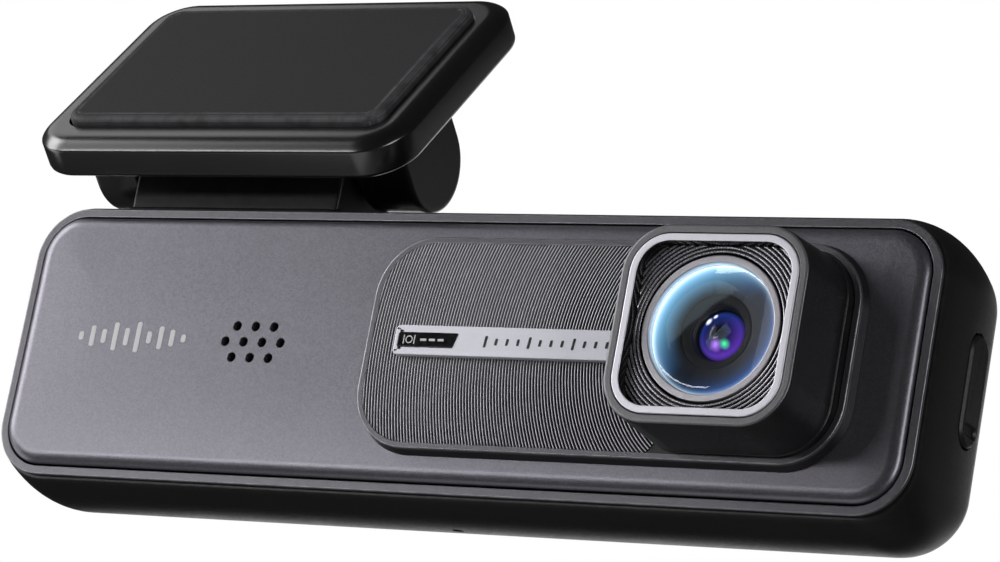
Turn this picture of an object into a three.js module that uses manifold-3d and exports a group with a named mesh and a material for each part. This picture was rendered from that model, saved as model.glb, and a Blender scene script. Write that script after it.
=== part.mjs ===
// A dash camera on a tilting windscreen bracket.
//
// Millimetres. +X points right as the lens side is looked at, the lens faces -Y, and +Z is up.
// The origin is the middle of the adhesive pad's outer face, where the windscreen is.
//
// The bracket's pieces live in a group turned by the slope of the windscreen: there x runs along
// the plate, y up its slope and z out through the pad. The camera's pieces live in a group whose
// own origin is the middle of the front bezel's face, and which is placed by the hinge.
import * as THREE from "three";
import { mergeVertices } from "three/addons/utils/BufferGeometryUtils.js";
import Module from "manifold-3d";

const wasm = await Module();
wasm.setup();

// ---------------------------------------------------------------- driving sizes

// clearances
const TURNED_GAP = 0.3; // between pieces of the turned bracket
const SEAM_GAP = 0.3; // between the bezel and the rear housing
const GLUE_GAP = 0.1; // between pieces glued, soldered or screwed face to face
const LINE_GAP = 0.2; // visible line round a piece set into another
const SLIDE_FIT = 0.3; // round a piece that passes through a hole

// case
const CASE_LENGTH = 110;
const CASE_HEIGHT = 30.7;
const CASE_DEPTH = 17.9;
const CASE_CORNER = 5.9;
const CASE_WALL = 1.5;
const END_SWELL = 0.72; // how far the rear housing swells past the bezel at each end
const SIDE_SWELL = 1.55; // the same at the top and the bottom
const SWELL_PEAK = 7.5; // depth at which the swell is largest
const BACK_FILLET = 4.5;

// front bezel and panel
const RIM_WIDTH = 0.97;
const RIM_THICKNESS = 0.5;
const FRAME_THICKNESS = 1.4; // plate behind the panel
const PANEL_PROUD = 0.9;
const PANEL_ROUND = 1.5; // width of the panel's rounded edge
const FRONT_AXIS_HEIGHT = 0.35; // lens, island and badge sit this far above the middle

// island
const ISLAND_LENGTH = 56.3;
const ISLAND_MARGIN = 0.76; // above and below the lens block
const ISLAND_CENTRE_X = 19.75;
const ISLAND_CORNER = 6.6;
const ISLAND_STEP = 1.5;
const ISLAND_DRAFT = 0.35;
const RIPPLE_THICKNESS = 0.35;
const RIPPLE_EDGE = 0.15; // chamfer round the ripple plate
const RIPPLE_STEP = 0.05; // how far the island stands past the plate on it

// badge strip on the island
const BADGE_LEFT = -4.6;
const BADGE_HEIGHT = 3.25;
const BADGE_THICKNESS = 0.55;
const INSET_LENGTH = 7.2;
const INSET_MARGIN = 0.45;
const INSET_PROUD = 0.1;

// speaker and its grille
const SPEAKER_X = -23.6;
const SPEAKER_Z = 0.2;
const SPEAKER_RADIUS = 7.5;
const SPEAKER_DEPTH = 4.2;
const GRILLE_HOLE = 0.52; // radius
const GRILLE_PITCH = 2.35;
const GRILLE_ROW = 1.75;
const SOUND_OPENING = 4.4; // radius of the hole in the plate behind the grille
const MESH_RADIUS = 4.9;
const MESH_THICKNESS = 0.3;
const GASKET_THICKNESS = 0.6;
const MAGNET_SHARE = 0.66; // radius of the speaker's magnet, as a share of its basket's

// lens block
const LENS_X = 35.85;
const BLOCK_BAND = 1; // the block's face round the trim ring
const BLOCK_CORNER = 5.1;
const BLOCK_PROUD = 8.9; // out of the island
const BLOCK_DRAFT = 0.44;
const BLOCK_EDGE = 0.3;
const TRIM_WIDTH = 0.78;
const TRIM_MARGIN = 0.97; // between the trim ring and the lens ring, at their closest
const TRIM_PROUD = 0.1;
const LENS_RECESS = 1.3;
const GROOVE_THICKNESS = 0.6;
const LENS_RING_WIDTH = 0.85;
const GLASS_RADIUS = 6.75;
const GLASS_THICKNESS = 0.8;
const BARREL_RADIUS = 6.1;
const BARREL_WALL = 1.0; // the block's wall round the barrel's space
const ELEMENT_RADIUS = 2.6;
const ELEMENT_DEPTH = 2.0; // front element behind the glass
const BAFFLE_HOLE = 3.3;
const SENSOR_DEPTH = 7.3; // front face of the sensor board

// boards
const BOARD_DEPTH = 11; // front face of the main board
const BOARD_THICKNESS = 1.2;
const BOARD_HEIGHT = 25;
const BOARD_END_GAP = 2.6; // from each end of the housing

// housing screws
const SCREW_INSET_X = 8; // from the ends
const SCREW_INSET_Z = 4.9; // from the top and bottom
const POST_RADIUS = 2.8;
const BOSS_END = 9; // where the bezel's bosses stop
const SCREW_SHANK = 0.95;
const SCREW_HEAD = 1.9;
const SCREW_HEAD_HEIGHT = 1.2;
const SCREW_SUNK = 1.4;
const BOARD_SCREW_X = -12;
const BOARD_SCREW_Z = 10.2;
const BOARD_BOSS = 1.9; // radius of the bosses that carry the board
const BOSS_OVERLAP = 0.5; // how far bosses reach into the plate behind the panel

// memory card, its socket and the door over it
const CARD_LENGTH = 15;
const CARD_WIDTH = 11;
const CARD_THICKNESS = 0.75;
const CARD_DEPTH = 9.9; // middle of the card behind the bezel
const CARD_HEIGHT = 0.6; // middle of the card above the middle of the case
const CARD_PUSH = 0.9; // room behind the card for the push that frees it
const SOCKET_WALL = 1.2; // beside the card
const DOOR_MARGIN = 0.9; // how much longer the door is than the card is wide
const DOOR_WIDTH = 4.4;
const DOOR_THICKNESS = 0.9;
const DOOR_PROUD = 0.35;
const DOOR_BEVEL = 0.3;

// power socket at the hidden end
const USB_WIDTH = 8.94;
const USB_THICKNESS = 3.26;
const USB_LENGTH = 7.3;
const USB_WALL = 0.3;
const USB_FLOOR = 1;
const TONGUE_THICKNESS = 0.7;
const TONGUE_WIDTH = 6.7;
const TONGUE_SET_BACK = 0.9;

// rear button, lamp and microphone
const BUTTON_X = -20;
const BUTTON_RADIUS = 5;
const BUTTON_PROUD = 0.4;
const BUTTON_TRAVEL = 0.5;
const BUTTON_FLANGE = 0.8;
const LAMP_X = -33;
const LAMP_RADIUS = 0.9;
const MICROPHONE_RADIUS = 2;
const MICROPHONE_HEIGHT = 1.5;
const MICROPHONE_HOLE = 0.6; // radius

// processor, and the vents under it
const PROCESSOR_X = 4;
const VENT_PITCH = 7.5;
const VENT_LENGTH = 5;
const VENT_WIDTH = 1.2;
const VENT_CORNER = 0.59;

// hinge
const SLOPE = 50.8; // degrees between the windscreen and the horizontal
const HINGE_X = -33.5; // middle of the neck
const HINGE_Y = 9.8;
const NECK_OFFSET = -0.75; // the neck stands this far left of the plate's middle
const HINGE_RISE = 8.0; // axis above the housing's top
const NECK_WIDTH = 27.2;
const NECK_RADIUS = 5.2;
const SEAT_RISE = 0.3;
const NECK_SCREW_SPACING = 16;
const EAR_RADIUS = 5.8;
const EAR_WIDTH = 6.3; // the left ear, which holds the screw's head
const NUT_EAR_WIDTH = 6.9; // the right ear, which holds the nut
const SCREW_RADIUS = 1.75;
const HINGE_HEAD = 3.1;
const HINGE_HEAD_HEIGHT = 2.2;
const WASHER_THICKNESS = 0.5;
const WASHER_RADIUS = 4.4;
const NUT_RADIUS = 2.9;
const NUT_LENGTH = 4;
const CAP_THICKNESS = 0.7;

// bracket plate and pad
const PLATE_LENGTH = 48.2;
const PLATE_WIDTH = 32.9;
const PLATE_THICKNESS = 4.4;
const PLATE_CORNER = 5.45;
const PLATE_ROUND = 2.75; // radius of the rounded border
const PLATE_ROUND_ANGLE = 52; // degrees that the rounding turns through
const PAD_LENGTH = 41.2;
const PAD_WIDTH = 25;
const PAD_CORNER = 2.2;
const PAD_THICKNESS = 1.6;
const PAD_PROUD = 0.95; // out of the plate's pocket
const HINGE_DROP = 10.1; // axis behind the pad's outer face
const HINGE_DOWNSLOPE = 4.5; // axis below the plate's middle, along the slope

// ---------------------------------------------------------------- sizes worked out from them

const CORNER_STEPS = 5; // facets round a corner that shows
const SMALL_STEPS = 2; // and round one of a small piece
const LEAST_CORNER = 0.3; // radius left when an outline is drawn in
const SMALL_CORNER = 0.4; // radius on chips and other small flat pieces
const CASE_END = CASE_LENGTH / 2;
const CASE_TOP = CASE_HEIGHT / 2;
const PANEL_INSET = RIM_WIDTH + LINE_GAP;
const PANEL_FACE = -PANEL_PROUD;
const PANEL_BACK = RIM_THICKNESS - GLUE_GAP;
const FRAME_BACK = RIM_THICKNESS + FRAME_THICKNESS;
const HOUSING_FRONT = RIM_THICKNESS + SEAM_GAP;
const INNER_BACK = CASE_DEPTH - CASE_WALL;
const ISLAND_FACE = PANEL_FACE - ISLAND_STEP;
const BLOCK_FACE = ISLAND_FACE - BLOCK_PROUD;
const LENS_FACE = BLOCK_FACE + LENS_RECESS;
const LENS_RING_RADIUS = GLASS_RADIUS + LENS_RING_WIDTH;
const TRIM_SIZE = 2 * (LENS_RING_RADIUS + TRIM_MARGIN + TRIM_WIDTH);
const BLOCK_SIZE = TRIM_SIZE + 2 * BLOCK_BAND; // at the front
const BLOCK_BASE = BLOCK_SIZE + 2 * BLOCK_DRAFT;
const ISLAND_HEIGHT = BLOCK_BASE + 2 * ISLAND_MARGIN;
const DOOR_LENGTH = CARD_WIDTH + DOOR_MARGIN;
const SOCKET_TOP = CARD_HEIGHT + CARD_WIDTH / 2 + SOCKET_WALL;
const SOCKET_BOTTOM = CARD_HEIGHT - CARD_WIDTH / 2 - SOCKET_WALL;
const BLOCK_BORE = BARREL_RADIUS + SLIDE_FIT;
const SPIGOT_RADIUS = BLOCK_BORE + BARREL_WALL;
const SPIGOT_HOLE = SPIGOT_RADIUS + SLIDE_FIT;
const BOARD_BACK = BOARD_DEPTH + BOARD_THICKNESS;
const SCREW_X = CASE_END - SCREW_INSET_X;
const SCREW_Z = Math.max(CASE_TOP - SCREW_INSET_Z, SOCKET_TOP + SEAM_GAP + POST_RADIUS);
const ISLAND_CENTRE = [ISLAND_CENTRE_X, FRONT_AXIS_HEIGHT];
const LENS_CENTRE = [LENS_X, FRONT_AXIS_HEIGHT];
const SPEAKER_CENTRE = [SPEAKER_X, SPEAKER_Z];
const BUTTON_CENTRE = [BUTTON_X, FRONT_AXIS_HEIGHT];
const LAMP_CENTRE = [LAMP_X, FRONT_AXIS_HEIGHT];

// How far the housing stands past the bezel's outline at a depth, as a share of its most.
function swellAt(depth) {
  return 1 - ((depth - SWELL_PEAK) / SWELL_PEAK) ** 2;
}

const END_AT_CARD = CASE_END + END_SWELL * swellAt(CARD_DEPTH);
const TOP_AT_HINGE = CASE_TOP + SIDE_SWELL * swellAt(HINGE_Y);
const BOTTOM_AT_BOARD = -(CASE_TOP + SIDE_SWELL * swellAt(BOARD_DEPTH - MICROPHONE_RADIUS));
const HINGE_Z = TOP_AT_HINGE + HINGE_RISE;
const HINGE_IN_CASE = new THREE.Vector3(HINGE_X, HINGE_Y, HINGE_Z);
const HINGE_IN_BRACKET = new THREE.Vector3(NECK_OFFSET, -HINGE_DOWNSLOPE, -HINGE_DROP);

// ---------------------------------------------------------------- outlines

// A rectangle with round corners, as points that run anticlockwise.
function roundedOutline(width, height, radius, [cx, cy] = [0, 0], steps = CORNER_STEPS) {
  const points = [];
  const signs = [[1, 1], [-1, 1], [-1, -1], [1, -1]];
  signs.forEach(([sx, sy], quarter) => {
    for (let i = 0; i <= steps; i++) {
      const angle = (Math.PI / 2) * (quarter + i / steps);
      const x = cx + sx * (width / 2 - radius) + radius * Math.cos(angle);
      const y = cy + sy * (height / 2 - radius) + radius * Math.sin(angle);
      points.push(new THREE.Vector2(x, y));
    }
  });
  return points;
}

// The same rectangle, drawn in by a distance on every side.
function insetOutline(width, height, radius, inset, centre) {
  const corner = Math.max(radius - inset, LEAST_CORNER);
  return roundedOutline(width - 2 * inset, height - 2 * inset, corner, centre);
}

// The outline of a chip or another small flat piece.
function smallOutline(width, height, centre) {
  return roundedOutline(width, height, SMALL_CORNER, centre, SMALL_STEPS);
}

// A disc's outline.
function circleOutline(radius, [cx, cy], segments = 32) {
  const points = [];
  for (let i = 0; i < segments; i++) {
    const angle = (2 * Math.PI * i) / segments;
    points.push(new THREE.Vector2(cx + radius * Math.cos(angle), cy + radius * Math.sin(angle)));
  }
  return points;
}

// ---------------------------------------------------------------- solids

// The directions that an outline's x and y and its extrusion take. Outlines across the depth
// are drawn in X and Z, and their solids run along -Y, so their levels are negated depths.
const ALONG_X = new THREE.Matrix4().makeBasis(
  new THREE.Vector3(0, 1, 0),
  new THREE.Vector3(0, 0, 1),
  new THREE.Vector3(1, 0, 0),
);
const ALONG_DEPTH = new THREE.Matrix4().makeBasis(
  new THREE.Vector3(1, 0, 0),
  new THREE.Vector3(0, 0, 1),
  new THREE.Vector3(0, -1, 0),
);
const ALONG_Z = new THREE.Matrix4();

// A closed geometry as a solid that can be cut and joined.
function solid(geometry) {
  const bare = geometry.index ? geometry.toNonIndexed() : geometry.clone();
  bare.deleteAttribute("normal");
  bare.deleteAttribute("uv");
  const merged = mergeVertices(bare, 1e-4);
  const index = merged.index.array;
  const kept = [];
  for (let i = 0; i < index.length; i += 3) {
    const [a, b, c] = [index[i], index[i + 1], index[i + 2]];
    if (a !== b && b !== c && c !== a) {
      kept.push(a, b, c);
    }
  }
  return new wasm.Manifold(
    new wasm.Mesh({
      numProp: 3,
      vertProperties: merged.attributes.position.array,
      triVerts: new Uint32Array(kept),
    }),
  );
}

// An outline extruded between two levels of its axis.
function prism(outline, from, to, axis, holes = []) {
  const shape = new THREE.Shape(outline);
  shape.holes = holes.map((hole) => new THREE.Path(hole));
  const geometry = new THREE.ExtrudeGeometry(shape, { depth: to - from, bevelEnabled: false });
  geometry.translate(0, 0, from);
  geometry.applyMatrix4(axis);
  return solid(geometry);
}

// A plate across the depth, from its front face to its back face.
function plate(outline, front, back, holes = []) {
  return prism(outline, -back, -front, ALONG_DEPTH, holes);
}

// A round rod through the case from front to back.
function pin(radius, front, back, centre, segments = 32) {
  return plate(circleOutline(radius, centre, segments), front, back);
}

// A flat ring across the depth.
function ring(outer, inner, front, back, centre, segments = 48) {
  const hole = circleOutline(inner, centre, segments);
  return plate(circleOutline(outer, centre, segments), front, back, [hole]);
}

// A skin drawn through outlines of equal point count at rising levels, closed at both ends.
function loft(sections, axis) {
  const count = sections[0].outline.length;
  const positions = [];
  const corner = (s, i) => {
    const point = sections[s].outline[i % count];
    positions.push(point.x, point.y, sections[s].level);
  };
  for (let s = 0; s < sections.length - 1; s++) {
    for (let i = 0; i < count; i++) {
      corner(s, i);
      corner(s, i + 1);
      corner(s + 1, i + 1);
      corner(s, i);
      corner(s + 1, i + 1);
      corner(s + 1, i);
    }
  }
  const last = sections.length - 1;
  for (const [a, b, c] of THREE.ShapeUtils.triangulateShape(sections[0].outline, [])) {
    corner(0, a);
    corner(0, c);
    corner(0, b);
    corner(last, a);
    corner(last, b);
    corner(last, c);
  }
  const geometry = new THREE.BufferGeometry();
  geometry.setAttribute("position", new THREE.Float32BufferAttribute(positions, 3));
  geometry.applyMatrix4(axis);
  return solid(geometry);
}

// A box from its lowest to its highest corner.
function block([x0, y0, z0], [x1, y1, z1]) {
  const geometry = new THREE.BoxGeometry(x1 - x0, y1 - y0, z1 - z0);
  geometry.translate((x0 + x1) / 2, (y0 + y1) / 2, (z0 + z1) / 2);
  return solid(geometry);
}

// A round piece about the optical axis. Its profile is [radius, depth] points, either from axis
// to axis or closed, and runs from the front of the axis outwards.
function turned(profile, segments = 28) {
  const points = profile.map(([radius, depth]) => new THREE.Vector2(radius, depth));
  const geometry = new THREE.LatheGeometry(points, segments);
  geometry.translate(LENS_CENTRE[0], 0, LENS_CENTRE[1]);
  return solid(geometry);
}

function cut(body, ...tools) {
  return tools.reduce((rest, tool) => rest.subtract(tool), body);
}

function join(body, ...more) {
  return more.reduce((whole, piece) => whole.add(piece), body);
}

// ---------------------------------------------------------------- materials

function finish(color, roughness, metalness = 0) {
  return new THREE.MeshStandardMaterial({ color, roughness, metalness });
}

const BLACK_PLASTIC = finish(0x1b1b1e, 0.5);
const NECK_PLASTIC = finish(0x232327, 0.45);
const FOAM = finish(0x2f2f33, 0.9);
const RIM_METAL = finish(0x6c6a74, 0.35, 0.7);
const GUNMETAL = finish(0x6f6b78, 0.32, 0.8);
const ISLAND_BLACK = finish(0x141416, 0.3);
const RIPPLE_METAL = finish(0x9a98a2, 0.25, 0.9);
const SILVER = finish(0xbdbbc4, 0.25, 0.9);
const LILAC_METAL = finish(0xb9b4c8, 0.2, 0.9);
const GLASS = finish(0x1a2340, 0.05);
const BAFFLE_GREY = finish(0x3c3d42, 0.6);
const COATED_GLASS = finish(0x3b2c78, 0.05);
const STEEL = finish(0xa8a8ac, 0.3, 1);
const BRASS = finish(0xb08d4a, 0.35, 1);
const RUBBER = finish(0x202022, 0.85);
const BOARD_GREEN = finish(0x0d3b2a, 0.5);
const CHIP_BLACK = finish(0x101012, 0.4);
const ALUMINIUM = finish(0xb5b7ba, 0.4, 1);
const FLEX_AMBER = finish(0xb0702a, 0.4);
const THERMAL_GREY = finish(0x8d97a3, 0.9);
const LAMP_WHITE = finish(0xe8eef2, 0.3);
const SLEEVE_BLUE = finish(0x23355c, 0.4);

const bracket = new THREE.Group();
const camera = new THREE.Group();

// Names a solid and adds it to its group as a mesh.
function add(group, name, body, material) {
  const { vertProperties, triVerts, numProp } = body.getMesh();
  const positions = new Float32Array((vertProperties.length / numProp) * 3);
  for (let i = 0; i < positions.length / 3; i++) {
    for (let k = 0; k < 3; k++) {
      positions[3 * i + k] = vertProperties[numProp * i + k];
    }
  }
  const indexed = new THREE.BufferGeometry();
  indexed.setAttribute("position", new THREE.BufferAttribute(positions, 3));
  indexed.setIndex(new THREE.BufferAttribute(new Uint32Array(triVerts), 1));
  const geometry = indexed.toNonIndexed();
  geometry.computeVertexNormals();
  const mesh = new THREE.Mesh(geometry, material);
  mesh.name = name;
  group.add(mesh);
}

// ---------------------------------------------------------------- bracket on the windscreen

const PLATE_FACE = -PAD_PROUD;
const PLATE_BACK = PLATE_FACE - PLATE_THICKNESS;
const LEFT_EAR_INNER = NECK_OFFSET - NECK_WIDTH / 2 - TURNED_GAP;
const RIGHT_EAR_INNER = NECK_OFFSET + NECK_WIDTH / 2 + WASHER_THICKNESS + 2 * TURNED_GAP;
const LEFT_EAR_OUTER = LEFT_EAR_INNER - EAR_WIDTH;
const RIGHT_EAR_OUTER = RIGHT_EAR_INNER + NUT_EAR_WIDTH;
const HINGE_LINE = [-HINGE_DOWNSLOPE, -HINGE_DROP];
const EAR_OVERLAP = 0.5; // how far the ears reach into the plate
const HEX_SOCKET = 0.7; // share of the hinge screw's radius

// A round rod along the hinge.
function axle(radius, from, to, segments = 32) {
  return prism(circleOutline(radius, HINGE_LINE, segments), from, to, ALONG_X);
}

// The plate's outline drawn in, at a level behind the pad's face.
function plateSection(inset, level) {
  return { outline: insetOutline(PLATE_LENGTH, PLATE_WIDTH, PLATE_CORNER, inset), level };
}

// The plate, with a border that rolls down to a crisp edge.
function roundedPlate() {
  const turn = THREE.MathUtils.degToRad(PLATE_ROUND_ANGLE);
  const sections = [plateSection(0, PLATE_BACK)];
  const steps = 5;
  for (let i = 0; i <= steps; i++) {
    const angle = turn * (1 - i / steps);
    const inset = PLATE_ROUND * (Math.sin(turn) - Math.sin(angle));
    sections.push(plateSection(inset, PLATE_FACE - PLATE_ROUND * (1 - Math.cos(angle))));
  }
  return loft(sections, ALONG_Z);
}

// One ear: round below the hinge line, straight up into the plate.
function ear(from, to) {
  const [y, z] = HINGE_LINE;
  const points = [];
  const steps = 16;
  for (let i = 0; i <= steps; i++) {
    const angle = Math.PI * (1 + i / steps);
    points.push(new THREE.Vector2(y + EAR_RADIUS * Math.cos(angle), z + EAR_RADIUS * Math.sin(angle)));
  }
  points.push(new THREE.Vector2(y + EAR_RADIUS, PLATE_BACK + EAR_OVERLAP));
  points.push(new THREE.Vector2(y - EAR_RADIUS, PLATE_BACK + EAR_OVERLAP));
  return prism(points, from, to, ALONG_X);
}

const HEAD_LEFT = LEFT_EAR_OUTER + CAP_THICKNESS + 2 * TURNED_GAP;
const HEAD_RIGHT = HEAD_LEFT + HINGE_HEAD_HEIGHT;
const LOCK_LEFT = HEAD_RIGHT + TURNED_GAP;
const LOCK_RIGHT = LOCK_LEFT + WASHER_THICKNESS;
const COUNTERBORE_END = LOCK_RIGHT + TURNED_GAP;
const COUNTERBORE_RADIUS = HINGE_HEAD + TURNED_GAP;
const NUT_LEFT = RIGHT_EAR_INNER + TURNED_GAP;
const NUT_RIGHT = NUT_LEFT + NUT_LENGTH;
const HINGE_BORE = SCREW_RADIUS + TURNED_GAP;
const CUT_PAST = 2;

const padPocket = insetOutline(PAD_LENGTH, PAD_WIDTH, PAD_CORNER, -TURNED_GAP);
add(
  bracket,
  "mount_bracket",
  cut(
    join(
      roundedPlate(),
      ear(LEFT_EAR_OUTER, LEFT_EAR_INNER),
      ear(RIGHT_EAR_INNER, RIGHT_EAR_OUTER),
    ),
    prism(padPocket, -PAD_THICKNESS - TURNED_GAP, CUT_PAST, ALONG_Z),
    axle(NECK_RADIUS + TURNED_GAP, LEFT_EAR_INNER, RIGHT_EAR_INNER, 40),
    axle(COUNTERBORE_RADIUS, LEFT_EAR_OUTER - CUT_PAST, COUNTERBORE_END),
    axle(HINGE_BORE, LEFT_EAR_OUTER, LEFT_EAR_INNER + CUT_PAST),
    axle(NUT_RADIUS + TURNED_GAP, RIGHT_EAR_INNER - CUT_PAST, NUT_RIGHT + TURNED_GAP),
  ),
  BLACK_PLASTIC,
);

add(
  bracket,
  "adhesive_pad",
  prism(roundedOutline(PAD_LENGTH, PAD_WIDTH, PAD_CORNER), -PAD_THICKNESS, 0, ALONG_Z),
  FOAM,
);

add(
  bracket,
  "hinge_screw",
  join(
    cut(
      axle(HINGE_HEAD, HEAD_LEFT, HEAD_RIGHT),
      axle(SCREW_RADIUS * HEX_SOCKET, HEAD_LEFT - CUT_PAST, HEAD_LEFT + HINGE_HEAD_HEIGHT / 2, 6),
    ),
    axle(SCREW_RADIUS, HEAD_RIGHT - TURNED_GAP, NUT_RIGHT - TURNED_GAP),
  ),
  STEEL,
);

// A washer on the hinge screw.
function washer(radius, from) {
  return cut(
    axle(radius, from, from + WASHER_THICKNESS),
    axle(HINGE_BORE, from - CUT_PAST, from + CUT_PAST),
  );
}

const NECK_RIGHT = NECK_OFFSET + NECK_WIDTH / 2;
add(bracket, "friction_washer", washer(WASHER_RADIUS, NECK_RIGHT + TURNED_GAP), STEEL);
add(bracket, "lock_washer", washer(HINGE_HEAD, LOCK_LEFT), STEEL);
add(
  bracket,
  "hinge_nut",
  cut(axle(NUT_RADIUS, NUT_LEFT, NUT_RIGHT), axle(HINGE_BORE, NUT_LEFT - CUT_PAST, NUT_RIGHT + CUT_PAST)),
  BRASS,
);
add(
  bracket,
  "hinge_cap",
  axle(HINGE_HEAD, LEFT_EAR_OUTER, LEFT_EAR_OUTER + CAP_THICKNESS),
  BLACK_PLASTIC,
);

// ---------------------------------------------------------------- rear housing

// The housing's outline at a depth, drawn in by a wall, with the fillet round the back.
function housingSection(depth, wall) {
  const fillet = BACK_FILLET - wall;
  const into = Math.max(0, depth - (CASE_DEPTH - wall - fillet));
  const drawnIn = wall + fillet - Math.sqrt(Math.max(0, fillet ** 2 - into ** 2));
  const swell = swellAt(depth);
  const width = CASE_LENGTH + 2 * END_SWELL * swell;
  const height = CASE_HEIGHT + 2 * SIDE_SWELL * swell;
  const radius = CASE_CORNER + SIDE_SWELL * swell * 0.55;
  return { outline: insetOutline(width, height, Math.max(radius, drawnIn + 1), drawnIn), level: -depth };
}

// The housing's shape, solid, drawn in by a wall, from a front depth to its back.
function housingShape(front, wall) {
  const back = CASE_DEPTH - wall;
  const fillet = BACK_FILLET - wall;
  const depths = [front];
  const wallSteps = 4;
  for (let i = 1; i <= wallSteps; i++) {
    depths.push(front + ((back - fillet - front) * i) / wallSteps);
  }
  const filletSteps = 5;
  for (let i = 1; i <= filletSteps; i++) {
    depths.push(back - fillet + fillet * Math.sin(((Math.PI / 2) * i) / filletSteps) * 0.999);
  }
  return loft(depths.reverse().map((depth) => housingSection(depth, wall)), ALONG_DEPTH);
}

const screwPlaces = [[1, 1], [-1, 1], [-1, -1], [1, -1]].map(([sx, sz]) => [sx * SCREW_X, sz * SCREW_Z]);
const neckScrewPlaces = [-1, 1].map((side) => HINGE_X + (side * NECK_SCREW_SPACING) / 2);
const HOLE_SEGMENTS = 20;
const SHANK_HOLE = SCREW_SHANK + SLIDE_FIT;
const HEAD_HOLE = SCREW_HEAD + SLIDE_FIT;
const HEAD_BACK = CASE_DEPTH - SCREW_SUNK;
const HEAD_FRONT = HEAD_BACK - SCREW_HEAD_HEIGHT;
const HEAD_FLOOR = HEAD_FRONT - GLUE_GAP;
const SHANK_FRONT = FRAME_BACK + 1;
const SEAT_TOP = TOP_AT_HINGE + SEAT_RISE;
const CEILING_AT_HINGE = TOP_AT_HINGE - CASE_WALL;
const POCKET_FLOOR = END_AT_CARD + DOOR_PROUD - DOOR_BEVEL - DOOR_THICKNESS - LINE_GAP;
const CARD_BOSS_START = POCKET_FLOOR - 1.4;
const USB_DEPTH = BOARD_DEPTH - GLUE_GAP - USB_THICKNESS / 2;
const SLOT_CENTRE = [CARD_DEPTH, CARD_HEIGHT];
const BUTTON_HOLE = BUTTON_RADIUS + LINE_GAP;

// An upright rod, such as a screw through the housing's top.
function upright(radius, [x, y], from, to, segments = HOLE_SEGMENTS) {
  return prism(circleOutline(radius, [x, y], segments), from, to, ALONG_Z);
}

// Five long slots through the floor of the housing, under the heat spreader.
function ventSlots() {
  const slots = [];
  for (let i = -2; i <= 2; i++) {
    const centre = [PROCESSOR_X + VENT_PITCH * i, BOARD_BACK + 1];
    const outline = roundedOutline(VENT_LENGTH, VENT_WIDTH, VENT_CORNER, centre);
    slots.push(prism(outline, -CASE_HEIGHT, -CASE_TOP + CASE_WALL + 1, ALONG_Z));
  }
  return slots;
}

const cardBossOutline = roundedOutline(DOOR_WIDTH + 2.4, DOOR_LENGTH + 2.4, 3, SLOT_CENTRE);
const doorPocket = insetOutline(DOOR_WIDTH, DOOR_LENGTH, DOOR_WIDTH / 2, -LINE_GAP / 2, SLOT_CENTRE);
const cardSlot = roundedOutline(CARD_THICKNESS + 2 * SLIDE_FIT, CARD_WIDTH + SLIDE_FIT, 0.4, SLOT_CENTRE);
const usbOpening = roundedOutline(USB_THICKNESS + SLIDE_FIT, USB_WIDTH + SLIDE_FIT, 1.6, [USB_DEPTH, 0]);

// The screws' posts, kept inside the housing's round back.
const screwPosts = screwPlaces.map((place) =>
  pin(POST_RADIUS, BOSS_END + SEAM_GAP, CASE_DEPTH, place, 24).intersect(housingShape(HOUSING_FRONT, 0)),
);

add(
  camera,
  "rear_housing",
  cut(
    join(
      cut(housingShape(HOUSING_FRONT, 0), housingShape(HOUSING_FRONT - CUT_PAST, CASE_WALL)),
      ...screwPosts,
      prism(
        roundedOutline(NECK_WIDTH + 2, 2 * NECK_RADIUS + 1.4, 1.5, [HINGE_X, HINGE_Y]),
        CEILING_AT_HINGE + 0.3,
        SEAT_TOP,
        ALONG_Z,
      ),
      prism(cardBossOutline, CARD_BOSS_START, END_AT_CARD - 0.5, ALONG_X),
    ),
    ...screwPlaces.map((place) => pin(SHANK_HOLE, 0, CASE_DEPTH + 1, place, HOLE_SEGMENTS)),
    ...screwPlaces.map((place) => pin(HEAD_HOLE, HEAD_FLOOR, CASE_DEPTH + 1, place, HOLE_SEGMENTS)),
    ...neckScrewPlaces.map((x) => upright(SHANK_HOLE, [x, HINGE_Y], CASE_TOP - 4, SEAT_TOP + 1)),
    prism(doorPocket, POCKET_FLOOR, END_AT_CARD + CUT_PAST, ALONG_X),
    prism(cardSlot, CARD_BOSS_START - CUT_PAST, END_AT_CARD, ALONG_X),
    prism(usbOpening, -CASE_LENGTH, -CASE_END + CASE_WALL + 1, ALONG_X),
    pin(BUTTON_HOLE, INNER_BACK - 1, CASE_DEPTH + 1, BUTTON_CENTRE, 48),
    pin(LAMP_RADIUS + LINE_GAP, INNER_BACK - 1, CASE_DEPTH + 1, LAMP_CENTRE, HOLE_SEGMENTS),
    upright(MICROPHONE_HOLE, [0, BOARD_DEPTH - MICROPHONE_RADIUS], -CASE_HEIGHT, -CASE_TOP + CASE_WALL, 12),
    ...ventSlots(),
  ),
  BLACK_PLASTIC,
);

// Four screws hold the case together from the back.
function caseScrew(place) {
  const head = cut(
    pin(SCREW_HEAD, HEAD_FRONT, HEAD_BACK, place, 24),
    pin(SCREW_HEAD * 0.5, HEAD_BACK - 0.6, HEAD_BACK + 1, place, 6),
  );
  return join(head, pin(SCREW_SHANK, SHANK_FRONT, HEAD_FRONT + 0.2, place, 16));
}

screwPlaces.forEach((place, i) => add(camera, `housing_screw_${i + 1}`, caseScrew(place), STEEL));

// ---------------------------------------------------------------- hinge neck on the housing

const NECK_BASE = SEAT_TOP + GLUE_GAP;
const NECK_PILOT_TOP = HINGE_Z - HINGE_BORE - 1.2;

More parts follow.
